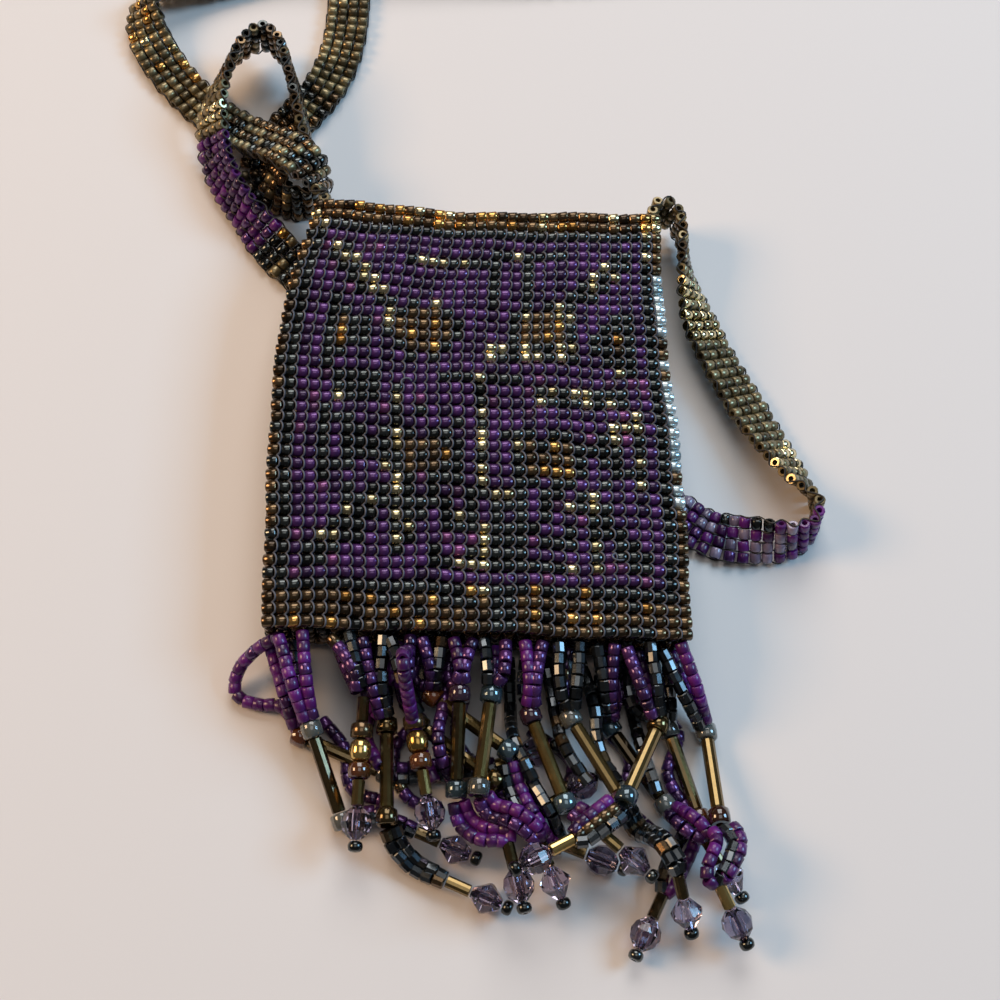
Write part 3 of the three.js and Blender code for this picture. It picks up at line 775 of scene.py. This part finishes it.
def add_panel(name, front):
    """A panel's beads and its threads."""
    column, row = np.meshgrid(np.arange(COLUMNS, dtype=float), np.arange(ROWS, dtype=float))
    centres = panel_point(column, row, front)
    axes = panel_point(column + 0.5, row, front) - panel_point(column - 0.5, row, front)
    down = panel_point(column, row - 0.5, front) - panel_point(column, row + 0.5, front)
    pitch = np.linalg.norm(axes, axis=-1)
    outs = unit(np.cross(axes, down)) * (1 if front else -1)
    shape = centres.shape
    centres = centres + outs * rng.normal(0, 0.05, shape[:2])[..., None]
    axes = unit(axes) + 0.1 * unit(down) + rng.normal(0, 0.05, shape)
    kinds = add_glints(panel_kinds()) if front else panel_kinds()
    lengths = np.minimum(SEED_LENGTH + 0.1, pitch - np.where(row < 3, 0.04, 0.1))
    steps = 10 if front else 8
    beads = add_piece(name + "_beads", grids_by_glaze(kinds, centres, axes, outs, lengths, steps))
    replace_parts(beads, name)
    row_place = np.arange(1.5 if front else -0.5, ROWS - 0.45, 1 / 8 if front else 1 / 4)
    paths = []
    for line in range(1, COLUMNS):
        place = np.full(len(row_place), line - 0.5)
        wave = row_place + 0.5
        bulge = 1 - (2 * (wave % 1) - 1)**2
        swing = (bulge - 0.6) * 0.34 + ((wave % 1) - 0.5) * 0.36
        on_sheet = panel_point(place, row_place, front)
        lift = (0.8 if front else -0.9) * np.sqrt(bulge)
        paths.append(on_sheet + np.stack([swing, 0 * swing, lift], 1))
    if front:
        paths += [loose_curl(*place) for place in ((11, 16.6, 20), (27.6, 31, 120), (19.4, 33, 60))]
    add_piece(name + "_threads", [
        (thread_grid(paths, PANEL_WARP_RADIUS, 5 if front else 4), thread, np.array([0.5]))])


add_panel("front_panel", True)
add_panel("back_panel", False)

# %% [markdown]
# ## The side band
# A narrow strip, three beads across, goes down one side, along the bottom and up the other. It
# stands between the panels and is sewn to both, so its beads stand upright. The panels could be
# bent down to make it, but the real one is a strip of its own, so it follows its own path.

# %% Side band
BAND_MIDDLE = 5.9
BAND_BEADS = 3
BAND_SPACING = 1.5
BAND_ROW_STEP = 1.62


def add_side_band():
    """Beads three to a row round the U of the bag's outline, half a weave inside it."""
    inset = WEAVE / 2
    y = np.linspace(BAG_HEIGHT, inset, 60)
    left = np.stack([side_x(LEFT_SIDE, y) + inset, y], 1)
    right = np.stack([side_x(RIGHT_SIDE, y) - inset, y], 1)[::-1]
    bottom_x = np.linspace(left[-1, 0], right[0, 0], 50)[1:-1]
    bottom = np.stack([bottom_x, np.full(len(bottom_x), inset)], 1)
    outline = np.vstack([left, bottom, right])
    outline = np.column_stack([outline, np.full(len(outline), BAND_MIDDLE)])
    path = even_steps(outline, BAND_ROW_STEP)[0]
    along = unit(np.gradient(path, axis=0))
    across = np.array([0, 0, 1.0])
    outs = np.cross(along, across)
    heights = (np.arange(BAND_BEADS) - 1) * BAND_SPACING
    centres = path[:, None, :] + across * heights[None, :, None]
    centres = centres + rng.normal(0, 0.03, centres.shape)
    axes = np.broadcast_to(across, centres.shape) + rng.normal(0, 0.04, centres.shape)
    outs = np.repeat(outs[:, None, :], BAND_BEADS, 1)
    kinds = np.full(centres.shape[:2], BRONZE)
    mix_and_highlight(kinds, kinds == BRONZE, GUNMETAL, 0.3)
    beads = add_piece("side_band_beads", grids_by_glaze(kinds, centres, axes, outs, SEED_LENGTH))
    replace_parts(beads, "side_band")


add_side_band()

# %% [markdown]
# ## How the fringe lies
# Each long tassel is strands from the bag to a joint bead, a long bugle, more strands, and a drop.
# They lie on the table and across one another. Fifteen simulated chains could settle there, but
# slowly, and never where these lie. Instead their plan is given, and their heights are
# found by letting each one down from above, key point by key point, until it rests.

# %% The fringe's plan
# name: root (x, height), joint, bugle heading, bends, end, drop heading. A short tassel has one
# run and no more.
TASSELS = [
    ("tassel_02", (-24, 4.2), (-21, -11.4), -22, [(-6, -15.4), (-2, -15)], (2, -14.6), 20),
    ("tassel_05", (-9.8, 4.2), (-6.6, -10), -36, [(4.8, -19)], (8.4, -19.6), 32),
    ("tassel_13", (22.6, 4.2), (24.2, -9), -72, [(26, -23), (24.4, -26)], (23.4, -28.5), -115),
    ("tassel_10", (15.8, 8), (17, -9), -55, [(25.6, -20.8)], (27.6, -22.4), -55),
    ("tassel_04", (-5.4, 8), (-5, -6.6), -36, [(6.2, -17.6), (8.4, -21.4)], (10.2, -23.4), -20),
    ("tassel_01", (-22.6, 8), (-19.5, -11.2), -68, [(-11.5, -20.6)], (-7.2, -22.4), -22),
    ("short_tassel_2", (-9.2, 8), (-8, -6.6), -78, None, None, None),
    ("tassel_03", (-12.6, 8), (-10.5, -10.3), -87, [(-8.8, -24.4), (-6.4, -26.6)],
     (-3.4, -28.1), -22),
    ("short_tassel_1", (-16.6, 8), (-13.4, -7.6), -90, None, None, None),
    ("tassel_06", (-1.6, 8), (-1.8, -7), -90, [(-0.8, -21.8), (1.6, -23.6)], (4.2, -23.6), -75),
    ("tassel_08", (7, 8), (6.9, -8.8), -68, [], (14.6, -22.4), -40),
    ("tassel_09", (11.4, 8), (11.8, -9), -58, [(20, -21.5), (22.2, -24.5)], (23.8, -27.2), -70),
    ("tassel_12", (23.8, 8), (28.9, -9.2), -86, [(30.4, -23.8)], (28.6, -28), -60),
    ("tassel_07", (2.2, 8), (2, -7), -96, [(2.4, -20.6), (5.2, -21.6)], (7.8, -23.6), -64),
    ("tassel_11", (19.8, 8), (22.6, -9.2), -114, [(15.2, -22)], (12.6, -24), -150),
]
ROOT_Y = -1.1
GAP = 0.3
STRANDS_RADIUS = 1.1
JOINT_RADIUS = 1.35
BUGLE_SPAN = 11.5
DROP_CLEARANCE = 0.9
# Where each bead of a run starts, its length, its radius and its kind.
LONG_BUGLE = [(-1, 2, JOINT_RADIUS, "joint"), (1.1, 9.3, 0.85, "bugle"),
              (10.5, 2, JOINT_RADIUS, "joint_end")]
DROP = [(0, 3, 0.75, "short_bugle"), (3.2, 3.8, 1.9, "crystal"), (7.2, 1.2, 0.9, "stopper")]
SHORT_RUN = [(0, 3, 0.75, "bugle"), (3.2, 1.8, JOINT_RADIUS, "brown"), (5.2, 2.6, 1.3, "ball"),
             (8, 1.8, JOINT_RADIUS, "amber"), (10, 3, 0.75, "short_bugle"),
             (13.2, 3.8, 1.9, "crystal"), (17.2, 1.2, 0.9, "stopper")]
print(len(TASSELS), "tassels")


# %% The key points of a tassel
def heading(degrees):
    """A flat direction from an angle."""
    return np.array([math.cos(math.radians(degrees)), math.sin(math.radians(degrees))])


def plan_tassel(root, joint, turn, bends, end, drop):
    """Key points in plan, and spans (a, b, from, to, radius) between pairs of them."""
    keys = [(root[0], ROOT_Y), joint]
    spans = []
    if bends is None:
        first, run, turn_drop, clearance = 1, SHORT_RUN, turn, 0
        spans.append((0, 1, 0.25, 0.95, STRANDS_RADIUS))
    else:
        lower = np.asarray(joint) + heading(turn) * BUGLE_SPAN
        keys.append(tuple(lower))
        spans += [(0, 1, 0.25, 1, STRANDS_RADIUS), (1, 2, 0, 1, LONG_BUGLE[1][2]),
                  (1, 2, 0, 0, JOINT_RADIUS), (1, 2, 1, 1, JOINT_RADIUS)]
        for bend in [*bends, end]:
            keys.append(bend)
            spans.append((len(keys) - 2, len(keys) - 1, 0, 1, STRANDS_RADIUS))
        first, run, turn_drop, clearance = len(keys) - 1, DROP, drop, DROP_CLEARANCE
    reach = clearance + run[-1][0] + run[-1][1]
    keys.append(tuple(np.asarray(keys[first]) + heading(turn_drop) * reach))
    for start, length, radius, _ in run:
        share = (clearance + start) / reach
        spans.append((first, len(keys) - 1, share, share + length / reach, radius))
    return np.array(keys, float), spans


first_keys, first_spans = plan_tassel(*TASSELS[0][1:])
print(TASSELS[0][0], "has", len(first_keys), "key points and", len(first_spans), "spans")


# %% Letting a tassel down
LET_DOWN_FROM = 20.0
LET_DOWN_STEPS = (0.5, 0.1)
SAMPLE_STEP = 0.5


def needed_heights(keys, spans, laid):
    """For samples along the spans, the height that clears the floor and the spans already laid,
    and the weights that turn key heights into the samples' heights."""
    weights, needed = [], []
    for a, b, start, end, radius in spans:
        length = np.linalg.norm(keys[a] - keys[b]) * (end - start)
        place = np.linspace(start, end, max(1, math.ceil(length / SAMPLE_STEP)) + 1)
        weight = np.zeros((len(place), len(keys)))
        weight[:, a] += 1 - place
        weight[:, b] += place
        plan = weight @ keys
        height = np.full(len(place), radius)
        for low, high, laid_radius in laid:
            run = high[:2] - low[:2]
            share = np.clip((plan - low[:2]) @ run / max(run @ run, 1e-9), 0, 1)[:, None]
            foot = low + (high - low) * share
            distance = np.linalg.norm(plan - foot[:, :2], axis=1)
            clear = radius + laid_radius + GAP
            over = foot[:, 2] + np.sqrt(np.maximum(clear**2 - distance**2, 0))
            height = np.where(distance < clear, np.maximum(height, over), height)
        weights.append(weight)
        needed.append(height)
    return np.vstack(weights), np.concatenate(needed)


def rest_tassel(keys, spans, root_height, laid):
    """Lets the key points down in small steps, in turn, until none can go lower."""
    weights, needed = needed_heights(keys, spans, laid)
    heights = np.full(len(keys), LET_DOWN_FROM)
    heights[0] = root_height
    for step in LET_DOWN_STEPS:
        moved = True
        while moved:
            moved = False
            for key in range(1, len(keys)):
                heights[key] -= step
                if (weights @ heights >= needed).all():
                    moved = True
                else:
                    heights[key] += step
    points = np.column_stack([keys, heights])
    for a, b, start, end, radius in spans:
        ends = [points[a] + (points[b] - points[a]) * share for share in (start, end)]
        laid.append((ends[0], ends[1], radius))
    return points


alone = rest_tassel(first_keys, first_spans, TASSELS[0][1][1], [])
print("alone on the table, its joint rests at", round(alone[1, 2], 1), "mm")

# %% [markdown]
# ## Slack strands
# Under the tassels that lie on top there are others, slack and half hidden. A second layer of whole
# tassels would be more than the bag has. So thirteen loose strands are laid once the lowest four
# tassels are down: those that start at the bag's edge are let down like the rest, and those that
# start in the middle of the fringe lie flat on the table.

# %% Laying the fringe
SLACK_RADIUS = 0.82
SLACK_ROOT = 3.0
SLACK_ON_TABLE = 0.9
LAID_FIRST = 4
# Whose beads they are, and the plan of each slack strand.
SLACK = [
    ("tassel_03", [(-10.8, -0.8), (-12.2, -6), (-13, -11), (-11, -15.5)]),
    ("tassel_05", [(-8, -0.8), (-8.6, -6), (-6.5, -12.5), (-4.4, -17)]),
    ("tassel_06", [(-3.4, -0.8), (-3.6, -7), (-4.2, -13), (-1.6, -18)]),
    ("tassel_07", [(4.2, -0.8), (4.6, -7), (5, -12), (7.4, -17)]),
    ("tassel_08", [(8.8, -0.8), (9.8, -7), (11, -12.5), (14, -17)]),
    ("tassel_09", [(13, -0.8), (14.6, -7), (15.4, -13), (18.4, -18)]),
    ("tassel_11", [(18, -0.8), (19.8, -7), (20.6, -12), (22.4, -17.5)]),
    ("tassel_06", [(-1, -5), (-2, -11), (1.5, -15.5), (3.4, -20.5)]),
    ("tassel_04", [(-6, -8), (-9.5, -12.5), (-8, -18), (-3.5, -20.4)]),
    ("tassel_08", [(7, -9.5), (12.4, -13.5), (11.4, -18.5), (16.5, -20.5)]),
    ("tassel_09", [(16, -9), (19.4, -12.5), (18.6, -18), (22, -21.5)]),
    ("tassel_10", [(21, -6), (25.5, -9), (24, -14.5), (26.4, -19)]),
    ("tassel_01", [(-18.6, -9), (-15.6, -12.5), (-14.5, -17.5), (-10, -19)]),
]
laid_spans = []
rested = {}
slack_strands = {}
for order, (name, root, joint, turn_heading, bends, end, drop) in enumerate(TASSELS):
    if order == LAID_FIRST:
        for owner, plan in SLACK:
            slack_plan = np.array(plan)
            slack_spans = [(i, i + 1, 0, 1, SLACK_RADIUS) for i in range(len(plan) - 1)]
            from_edge = rest_tassel(slack_plan, slack_spans, SLACK_ROOT, list(laid_spans))
            on_table = np.column_stack([slack_plan, np.full(len(plan), SLACK_ON_TABLE)])
            slack_strands.setdefault(owner, []).append(from_edge if plan[0][1] > -1 else on_table)
    keys, spans = plan_tassel(root, joint, turn_heading, bends, end, drop)
    rested[name] = rest_tassel(keys, spans, root[1], laid_spans)
print("fringe rises to", round(max(points[:, 2].max() for points in rested.values()), 1), "mm")

# %% [markdown]
# ## Strands, bugles and crystals
# The strands are seed beads threaded end to end, a few side by side, which part and meet again
# between the bag and the joint. Bugles are long glass tubes with a gold lustre, joints are larger
# round-cornered beads, and each drop ends in a faceted crystal held by a stopper. Curves with a
# bevel would make smooth cords, so each strand is a path that beads are set along, and each run
# is a short list of single beads that share one thread.

# %% Threaded beads
STRAND_RADIUS = 0.81
STRAND_BEAD = 1.34
STRAND_STEP = STRAND_BEAD + 0.05
ODD_SHARE = 0.06
LETTER = {"P": bright_purple, "D": purple_glass, "G": hematite, "B": bronze}


def strand_beads(path, letter):
    """Beads end to end along a path, nearly all of one glaze."""
    path = even_steps(np.asarray(path, float), STRAND_STEP)[0]
    middles = (path[1:] + path[:-1]) / 2
    axes = path[1:] - path[:-1] + rng.normal(0, 0.07, middles.shape)
    grids = []
    odd = rng.random(len(middles)) < ODD_SHARE
    for pick, glazed in ((~odd, LETTER[letter]), (odd, purple_glass if letter == "P" else bronze)):
        if pick.any():
            outs = rng.normal(0, 0.5 if letter == "G" else 0.01, (pick.sum(), 3)) + (0, 0.1, 1)
            grid = bead_grid(middles[pick], axes[pick], outs, STRAND_BEAD, STRAND_RADIUS,
                             CUT if letter == "G" else CYLINDER, 9 if letter == "G" else 10)
            grids.append((grid, glazed, rng.random(pick.sum())))
    return grids


def beside(points, start, end, bulge, rise):
    """A strand beside the bundle's middle line: the line through the points, smoothed, moved
    sideways by start at one end and end at the other, with a hump of bulge and rise between."""
    middle = smooth_route(points, 40)
    along = unit(np.gradient(middle, axis=0))
    side = unit(np.stack([along[:, 1], -along[:, 0], np.zeros(len(along))], 1))
    share = np.linspace(0, 1, len(middle))[:, None]
    offset = start * (1 - share) + end * share + bulge * np.sin(np.pi * share)
    moved = middle + side * offset
    moved[:, 2:] += rise * np.sin(np.pi * share)
    moved[:, 2] = np.maximum(moved[:, 2], STRAND_RADIUS)
    return moved


print("a strand has", round(10 / STRAND_STEP, 1), "beads to the centimetre")


# %% Upper and lower strands
# Where the upper strands start, as shares of their spread: two on top, then two beneath.
UPPER_PLACES = (-1.0, 1.0, 0.1, -0.5)
LOWER_SPACING = 1.5


def drawn_in(points, from_start, from_end):
    """Shortens a line of points at its two ends."""
    points = np.array(points, float)
    points[0] += unit(points[1] - points[0]) * from_start
    points[-1] += unit(points[-2] - points[-1]) * from_end
    return points


def upper_strands(root, joint, letters):
    """Two strands on top that spread along the bag's edge, and two slack ones beneath."""
    grids = []
    spread = rng.uniform(1.1, 1.5)
    for place, letter in zip(UPPER_PLACES, letters):
        beneath = place in UPPER_PLACES[2:]
        start = np.array([root[0], -0.4, root[2] - (2.4 if beneath else 0)])
        middle = (start + joint) / 2 + np.array([0, -1.0, -0.6 if beneath else 1.1])
        line = drawn_in([start, middle, joint + np.array([0, 0, -0.5 if beneath else 0.2])],
                        0, 1.2)
        bulge = rng.normal(0, 1.1) if beneath else place * 0.35 + rng.normal(0, 0.35)
        grids += strand_beads(beside(line, -place * spread, -place * 0.5, bulge, 0), letter)
    return grids


def lower_strands(points, letters):
    """Strands side by side, with a little slack, from the joint to the drop."""
    places = (np.arange(len(letters)) - (len(letters) - 1) / 2) * LOWER_SPACING
    grids = []
    for place, letter in zip(places, letters):
        line = beside(points, place * 0.8, place * 0.35, place * 0.25 + rng.normal(0, 0.3),
                      0.5 * rng.random())
        grids += strand_beads(line, letter)
    return grids


print("a tassel's upper strands have", len(UPPER_PLACES), "places, of which two lie beneath")

# %% The colours of each tassel
# Two upper strands on top and two beneath, the lower strands, the two joints, and the drop.
# Strands: P bright purple, D dark purple, G hematite, B bronze. Joints: C clear, A amber,
# T rainbow, R rose, O olive. Drops: f a round crystal, b a bicone.
STYLES = {
    "tassel_01": ("PPGD", "DG", "CC", "b"), "tassel_02": ("PDGD", "DG", "AC", "f"),
    "tassel_03": ("DGGP", "GG", "OO", "b"), "tassel_04": ("DGGD", "GPG", "AT", "f"),
    "tassel_05": ("DGDP", "DDG", "OO", "f"), "tassel_06": ("PDGD", "PP", "RT", "f"),
    "tassel_07": ("GDPG", "PD", "TC", "b"), "tassel_08": ("PDDG", "PD", "RT", "b"),
    "tassel_09": ("GGDG", "GG", "CR", "b"), "tassel_10": ("GDGD", "PD", "TC", "b"),
    "tassel_11": ("DGPG", "GBP", "OT", "f"), "tassel_12": ("GPPG", "PGP", "CA", "f"),
    "tassel_13": ("GGDG", "PG", "CA", "f"), "short_tassel_1": ("DGGD", "", "", "f"),
    "short_tassel_2": ("GDPG", "", "", "f"),
}
JOINTS = {"C": clear_glass, "A": amber_glass, "T": rainbow_glass, "R": rose_glass, "O": olive_gold}
OUTLINES = {"joint": BARREL, "joint_end": BARREL, "brown": BARREL, "amber": BARREL,
            "stopper": ROUND, "ball": ROUND, "bugle": TUBE, "short_bugle": TUBE}
print(sum(style[3] == "b" for style in STYLES.values()), "tassels end in a bicone")


# %% [markdown]
# ## A run of single beads
# A bugle with its two joints, or a drop, is a few unlike beads on one thread. The whole run could
# be turned as one solid. Here each bead is its own closed ring with its own outline, so that light
# falls into the gaps and each bead has one finish.

# %% Runs of beads
RUN_THREAD_RADIUS = 0.25


def run_beads(run, start, toward, glazes, crystal_outline=FACETED):
    """A run of single beads on one thread, each with its own outline and glaze."""
    direction = unit(toward - start)
    grids = []
    for place, length, radius, kind in run:
        outline = crystal_outline if kind == "crystal" else OUTLINES[kind]
        steps = 9 if kind == "crystal" else 12 if outline is TUBE else 16
        centre = start + direction * (place + length / 2)
        grid = bead_grid([centre], [direction], [(0.05, 0.1, 1.0)], length, radius, outline, steps)
        grids.append((grid, glazes[kind], rng.random(1)))
    ends = np.array([start + direction * run[0][0], start + direction * (run[-1][0] + run[-1][1])])
    grids.append((thread_grid([ends], RUN_THREAD_RADIUS, 5), dark_thread, np.array([0.6])))
    return grids


print("a long bugle's run is", LONG_BUGLE[-1][0] + LONG_BUGLE[-1][1] - LONG_BUGLE[0][0], "mm")

# %% The strands that leave the bag
SIDE_LOOP = [(-23.6, -0.5, 7), (-26.2, -1.2, 5.4), (-29.2, -3.6, 2.4), (-29.4, -6.2, 1),
             (-26.6, -7.4, 1), (-23.6, -7.6, 1.4)]


def leaving_strands(name, points, letters):
    """A tassel's upper strands, with the slack ones that are its own. One tassel also has a loose
    strand that loops out past the bag's left side."""
    grids = upper_strands(points[0], points[1], letters)
    if name == "tassel_02":
        grids += strand_beads(smooth_route([*SIDE_LOOP, tuple(points[1])], 60), "P")
    for slack, letter in zip(slack_strands.get(name, []), (letters[3], "D")):
        grids += strand_beads(smooth_route(slack, 60), letter)
    return grids


print(sum(len(strands) for strands in slack_strands.values()), "slack strands to thread")


# %% The tassels
def add_short_tassel(name, points, glazes):
    """A strand from the bag, and one run of beads."""
    grids = leaving_strands(name, points, STYLES[name][0])
    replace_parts(add_piece(name + "_strand_beads", grids), name + "_strand")
    glazes = {**glazes, "bugle": olive_gold, "brown": bronze, "amber": amber_glass,
              "ball": bright_gold}
    piece = add_piece(name + "_run_beads", run_beads(SHORT_RUN, points[1], points[2], glazes))
    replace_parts(piece, name + "_bead_run")


def add_long_tassel(name, points, drop_glazes):
    """Strands from the bag, a bugle between its joints, more strands, and a drop."""
    letters, lower_letters, joints, crystal = STYLES[name]
    grids = leaving_strands(name, points, letters)
    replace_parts(add_piece(name + "_upper_beads", grids), name + "_upper_strands")
    glazes = {"joint": JOINTS[joints[0]], "bugle": olive_gold, "joint_end": JOINTS[joints[1]]}
    piece = add_piece(name + "_bugle_beads", run_beads(LONG_BUGLE, points[1], points[2], glazes))
    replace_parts(piece, name + "_bugle")
    drop_start = points[-2] + unit(points[-1] - points[-2]) * DROP_CLEARANCE
    lower = drawn_in(np.vstack([points[2:-1], drop_start]), 1.3, 0.2)
    piece = add_piece(name + "_lower_beads", lower_strands(lower, lower_letters))
    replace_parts(piece, name + "_lower_strands")
    crystal_outline = BICONE if crystal == "b" else FACETED
    piece = add_piece(name + "_drop_beads",
                      run_beads(DROP, drop_start, points[-1], drop_glazes, crystal_outline))
    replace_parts(piece, name + "_drop")


for name, points in rested.items():
    gold = bright_gold if name in ("tassel_11", "tassel_12") else olive_gold
    drop_glazes = {"short_bugle": gold, "crystal": lilac_crystal, "stopper": gunmetal}
    add_tassel = add_short_tassel if name.startswith("short") else add_long_tassel
    add_tassel(name, points, drop_glazes)

# %% [markdown]
# ## The table and the light
# The bag lies on a pale matt table, between a warm light on the left and a cool one on the right,
# so that shadows turn blue on the right of things and tan on the left. A picture of a room could
# light it. Four area lights are simpler to move, and each does one thing: the broad one behind
# the bag lays a strip of light along every bead.

# %% Table
def plain_material(name, colour, roughness):
    """A plain matt surface."""
    material = bpy.data.materials.new(name)
    material.use_nodes = True
    shader = material.node_tree.nodes["Principled BSDF"]
    shader.inputs["Base Color"].default_value = (*colour, 1)
    shader.inputs["Roughness"].default_value = roughness
    shader.inputs["Specular IOR Level"].default_value = 0.2
    return material


TABLE_SIZE = 6
bpy.ops.mesh.primitive_plane_add(size=TABLE_SIZE, location=(0, 0, 0))
table = bpy.context.object
table.name = "table"
table.data.materials.append(plain_material("table_top", (0.72, 0.68, 0.65), 0.7))
print("the table is", TABLE_SIZE, "m across")


# %% Lights
def soft_light(name, place, aim, size, power, colour):
    """A square area light that faces a point."""
    data = bpy.data.lights.new(name, "AREA")
    data.size = size
    data.energy = power
    data.color = colour
    light = bpy.data.objects.new(name, data)
    bpy.context.scene.collection.objects.link(light)
    place, aim = np.asarray(place, float), np.asarray(aim, float)
    back = unit(place - aim)
    side = unit(np.cross((0, 1, 0.01), back))
    turn = np.identity(4)
    turn[:3, 0], turn[:3, 1], turn[:3, 2], turn[:3, 3] = side, np.cross(back, side), back, place
    light.matrix_world = Matrix(turn.tolist())


soft_light("warm_light", (-0.72, 0.07, 0.5), (0, 0.02, 0), 0.34, 4.8, (1.0, 0.64, 0.36))
soft_light("cool_light", (0.76, 0.18, 0.61), (0, 0.02, 0), 0.38, 6.0, (0.36, 0.68, 1.0))
soft_light("back_light", (0.0, 0.7, 0.66), (0, 0.02, 0), 0.62, 5.0, (1.0, 0.98, 0.97))
soft_light("ceiling_light", (0.05, 0.0, 0.95), (0, 0.0, 0), 0.5, 1.0, (1.0, 0.98, 0.96))
world = bpy.data.worlds.new("room")
world.use_nodes = True
world.node_tree.nodes["Background"].inputs["Color"].default_value = (0.97, 0.97, 1.0, 1)
world.node_tree.nodes["Background"].inputs["Strength"].default_value = 0.08
bpy.context.scene.world = world
bpy.context.scene.view_settings.view_transform = "Standard"
print("lights:", [light.name for light in bpy.data.lights])
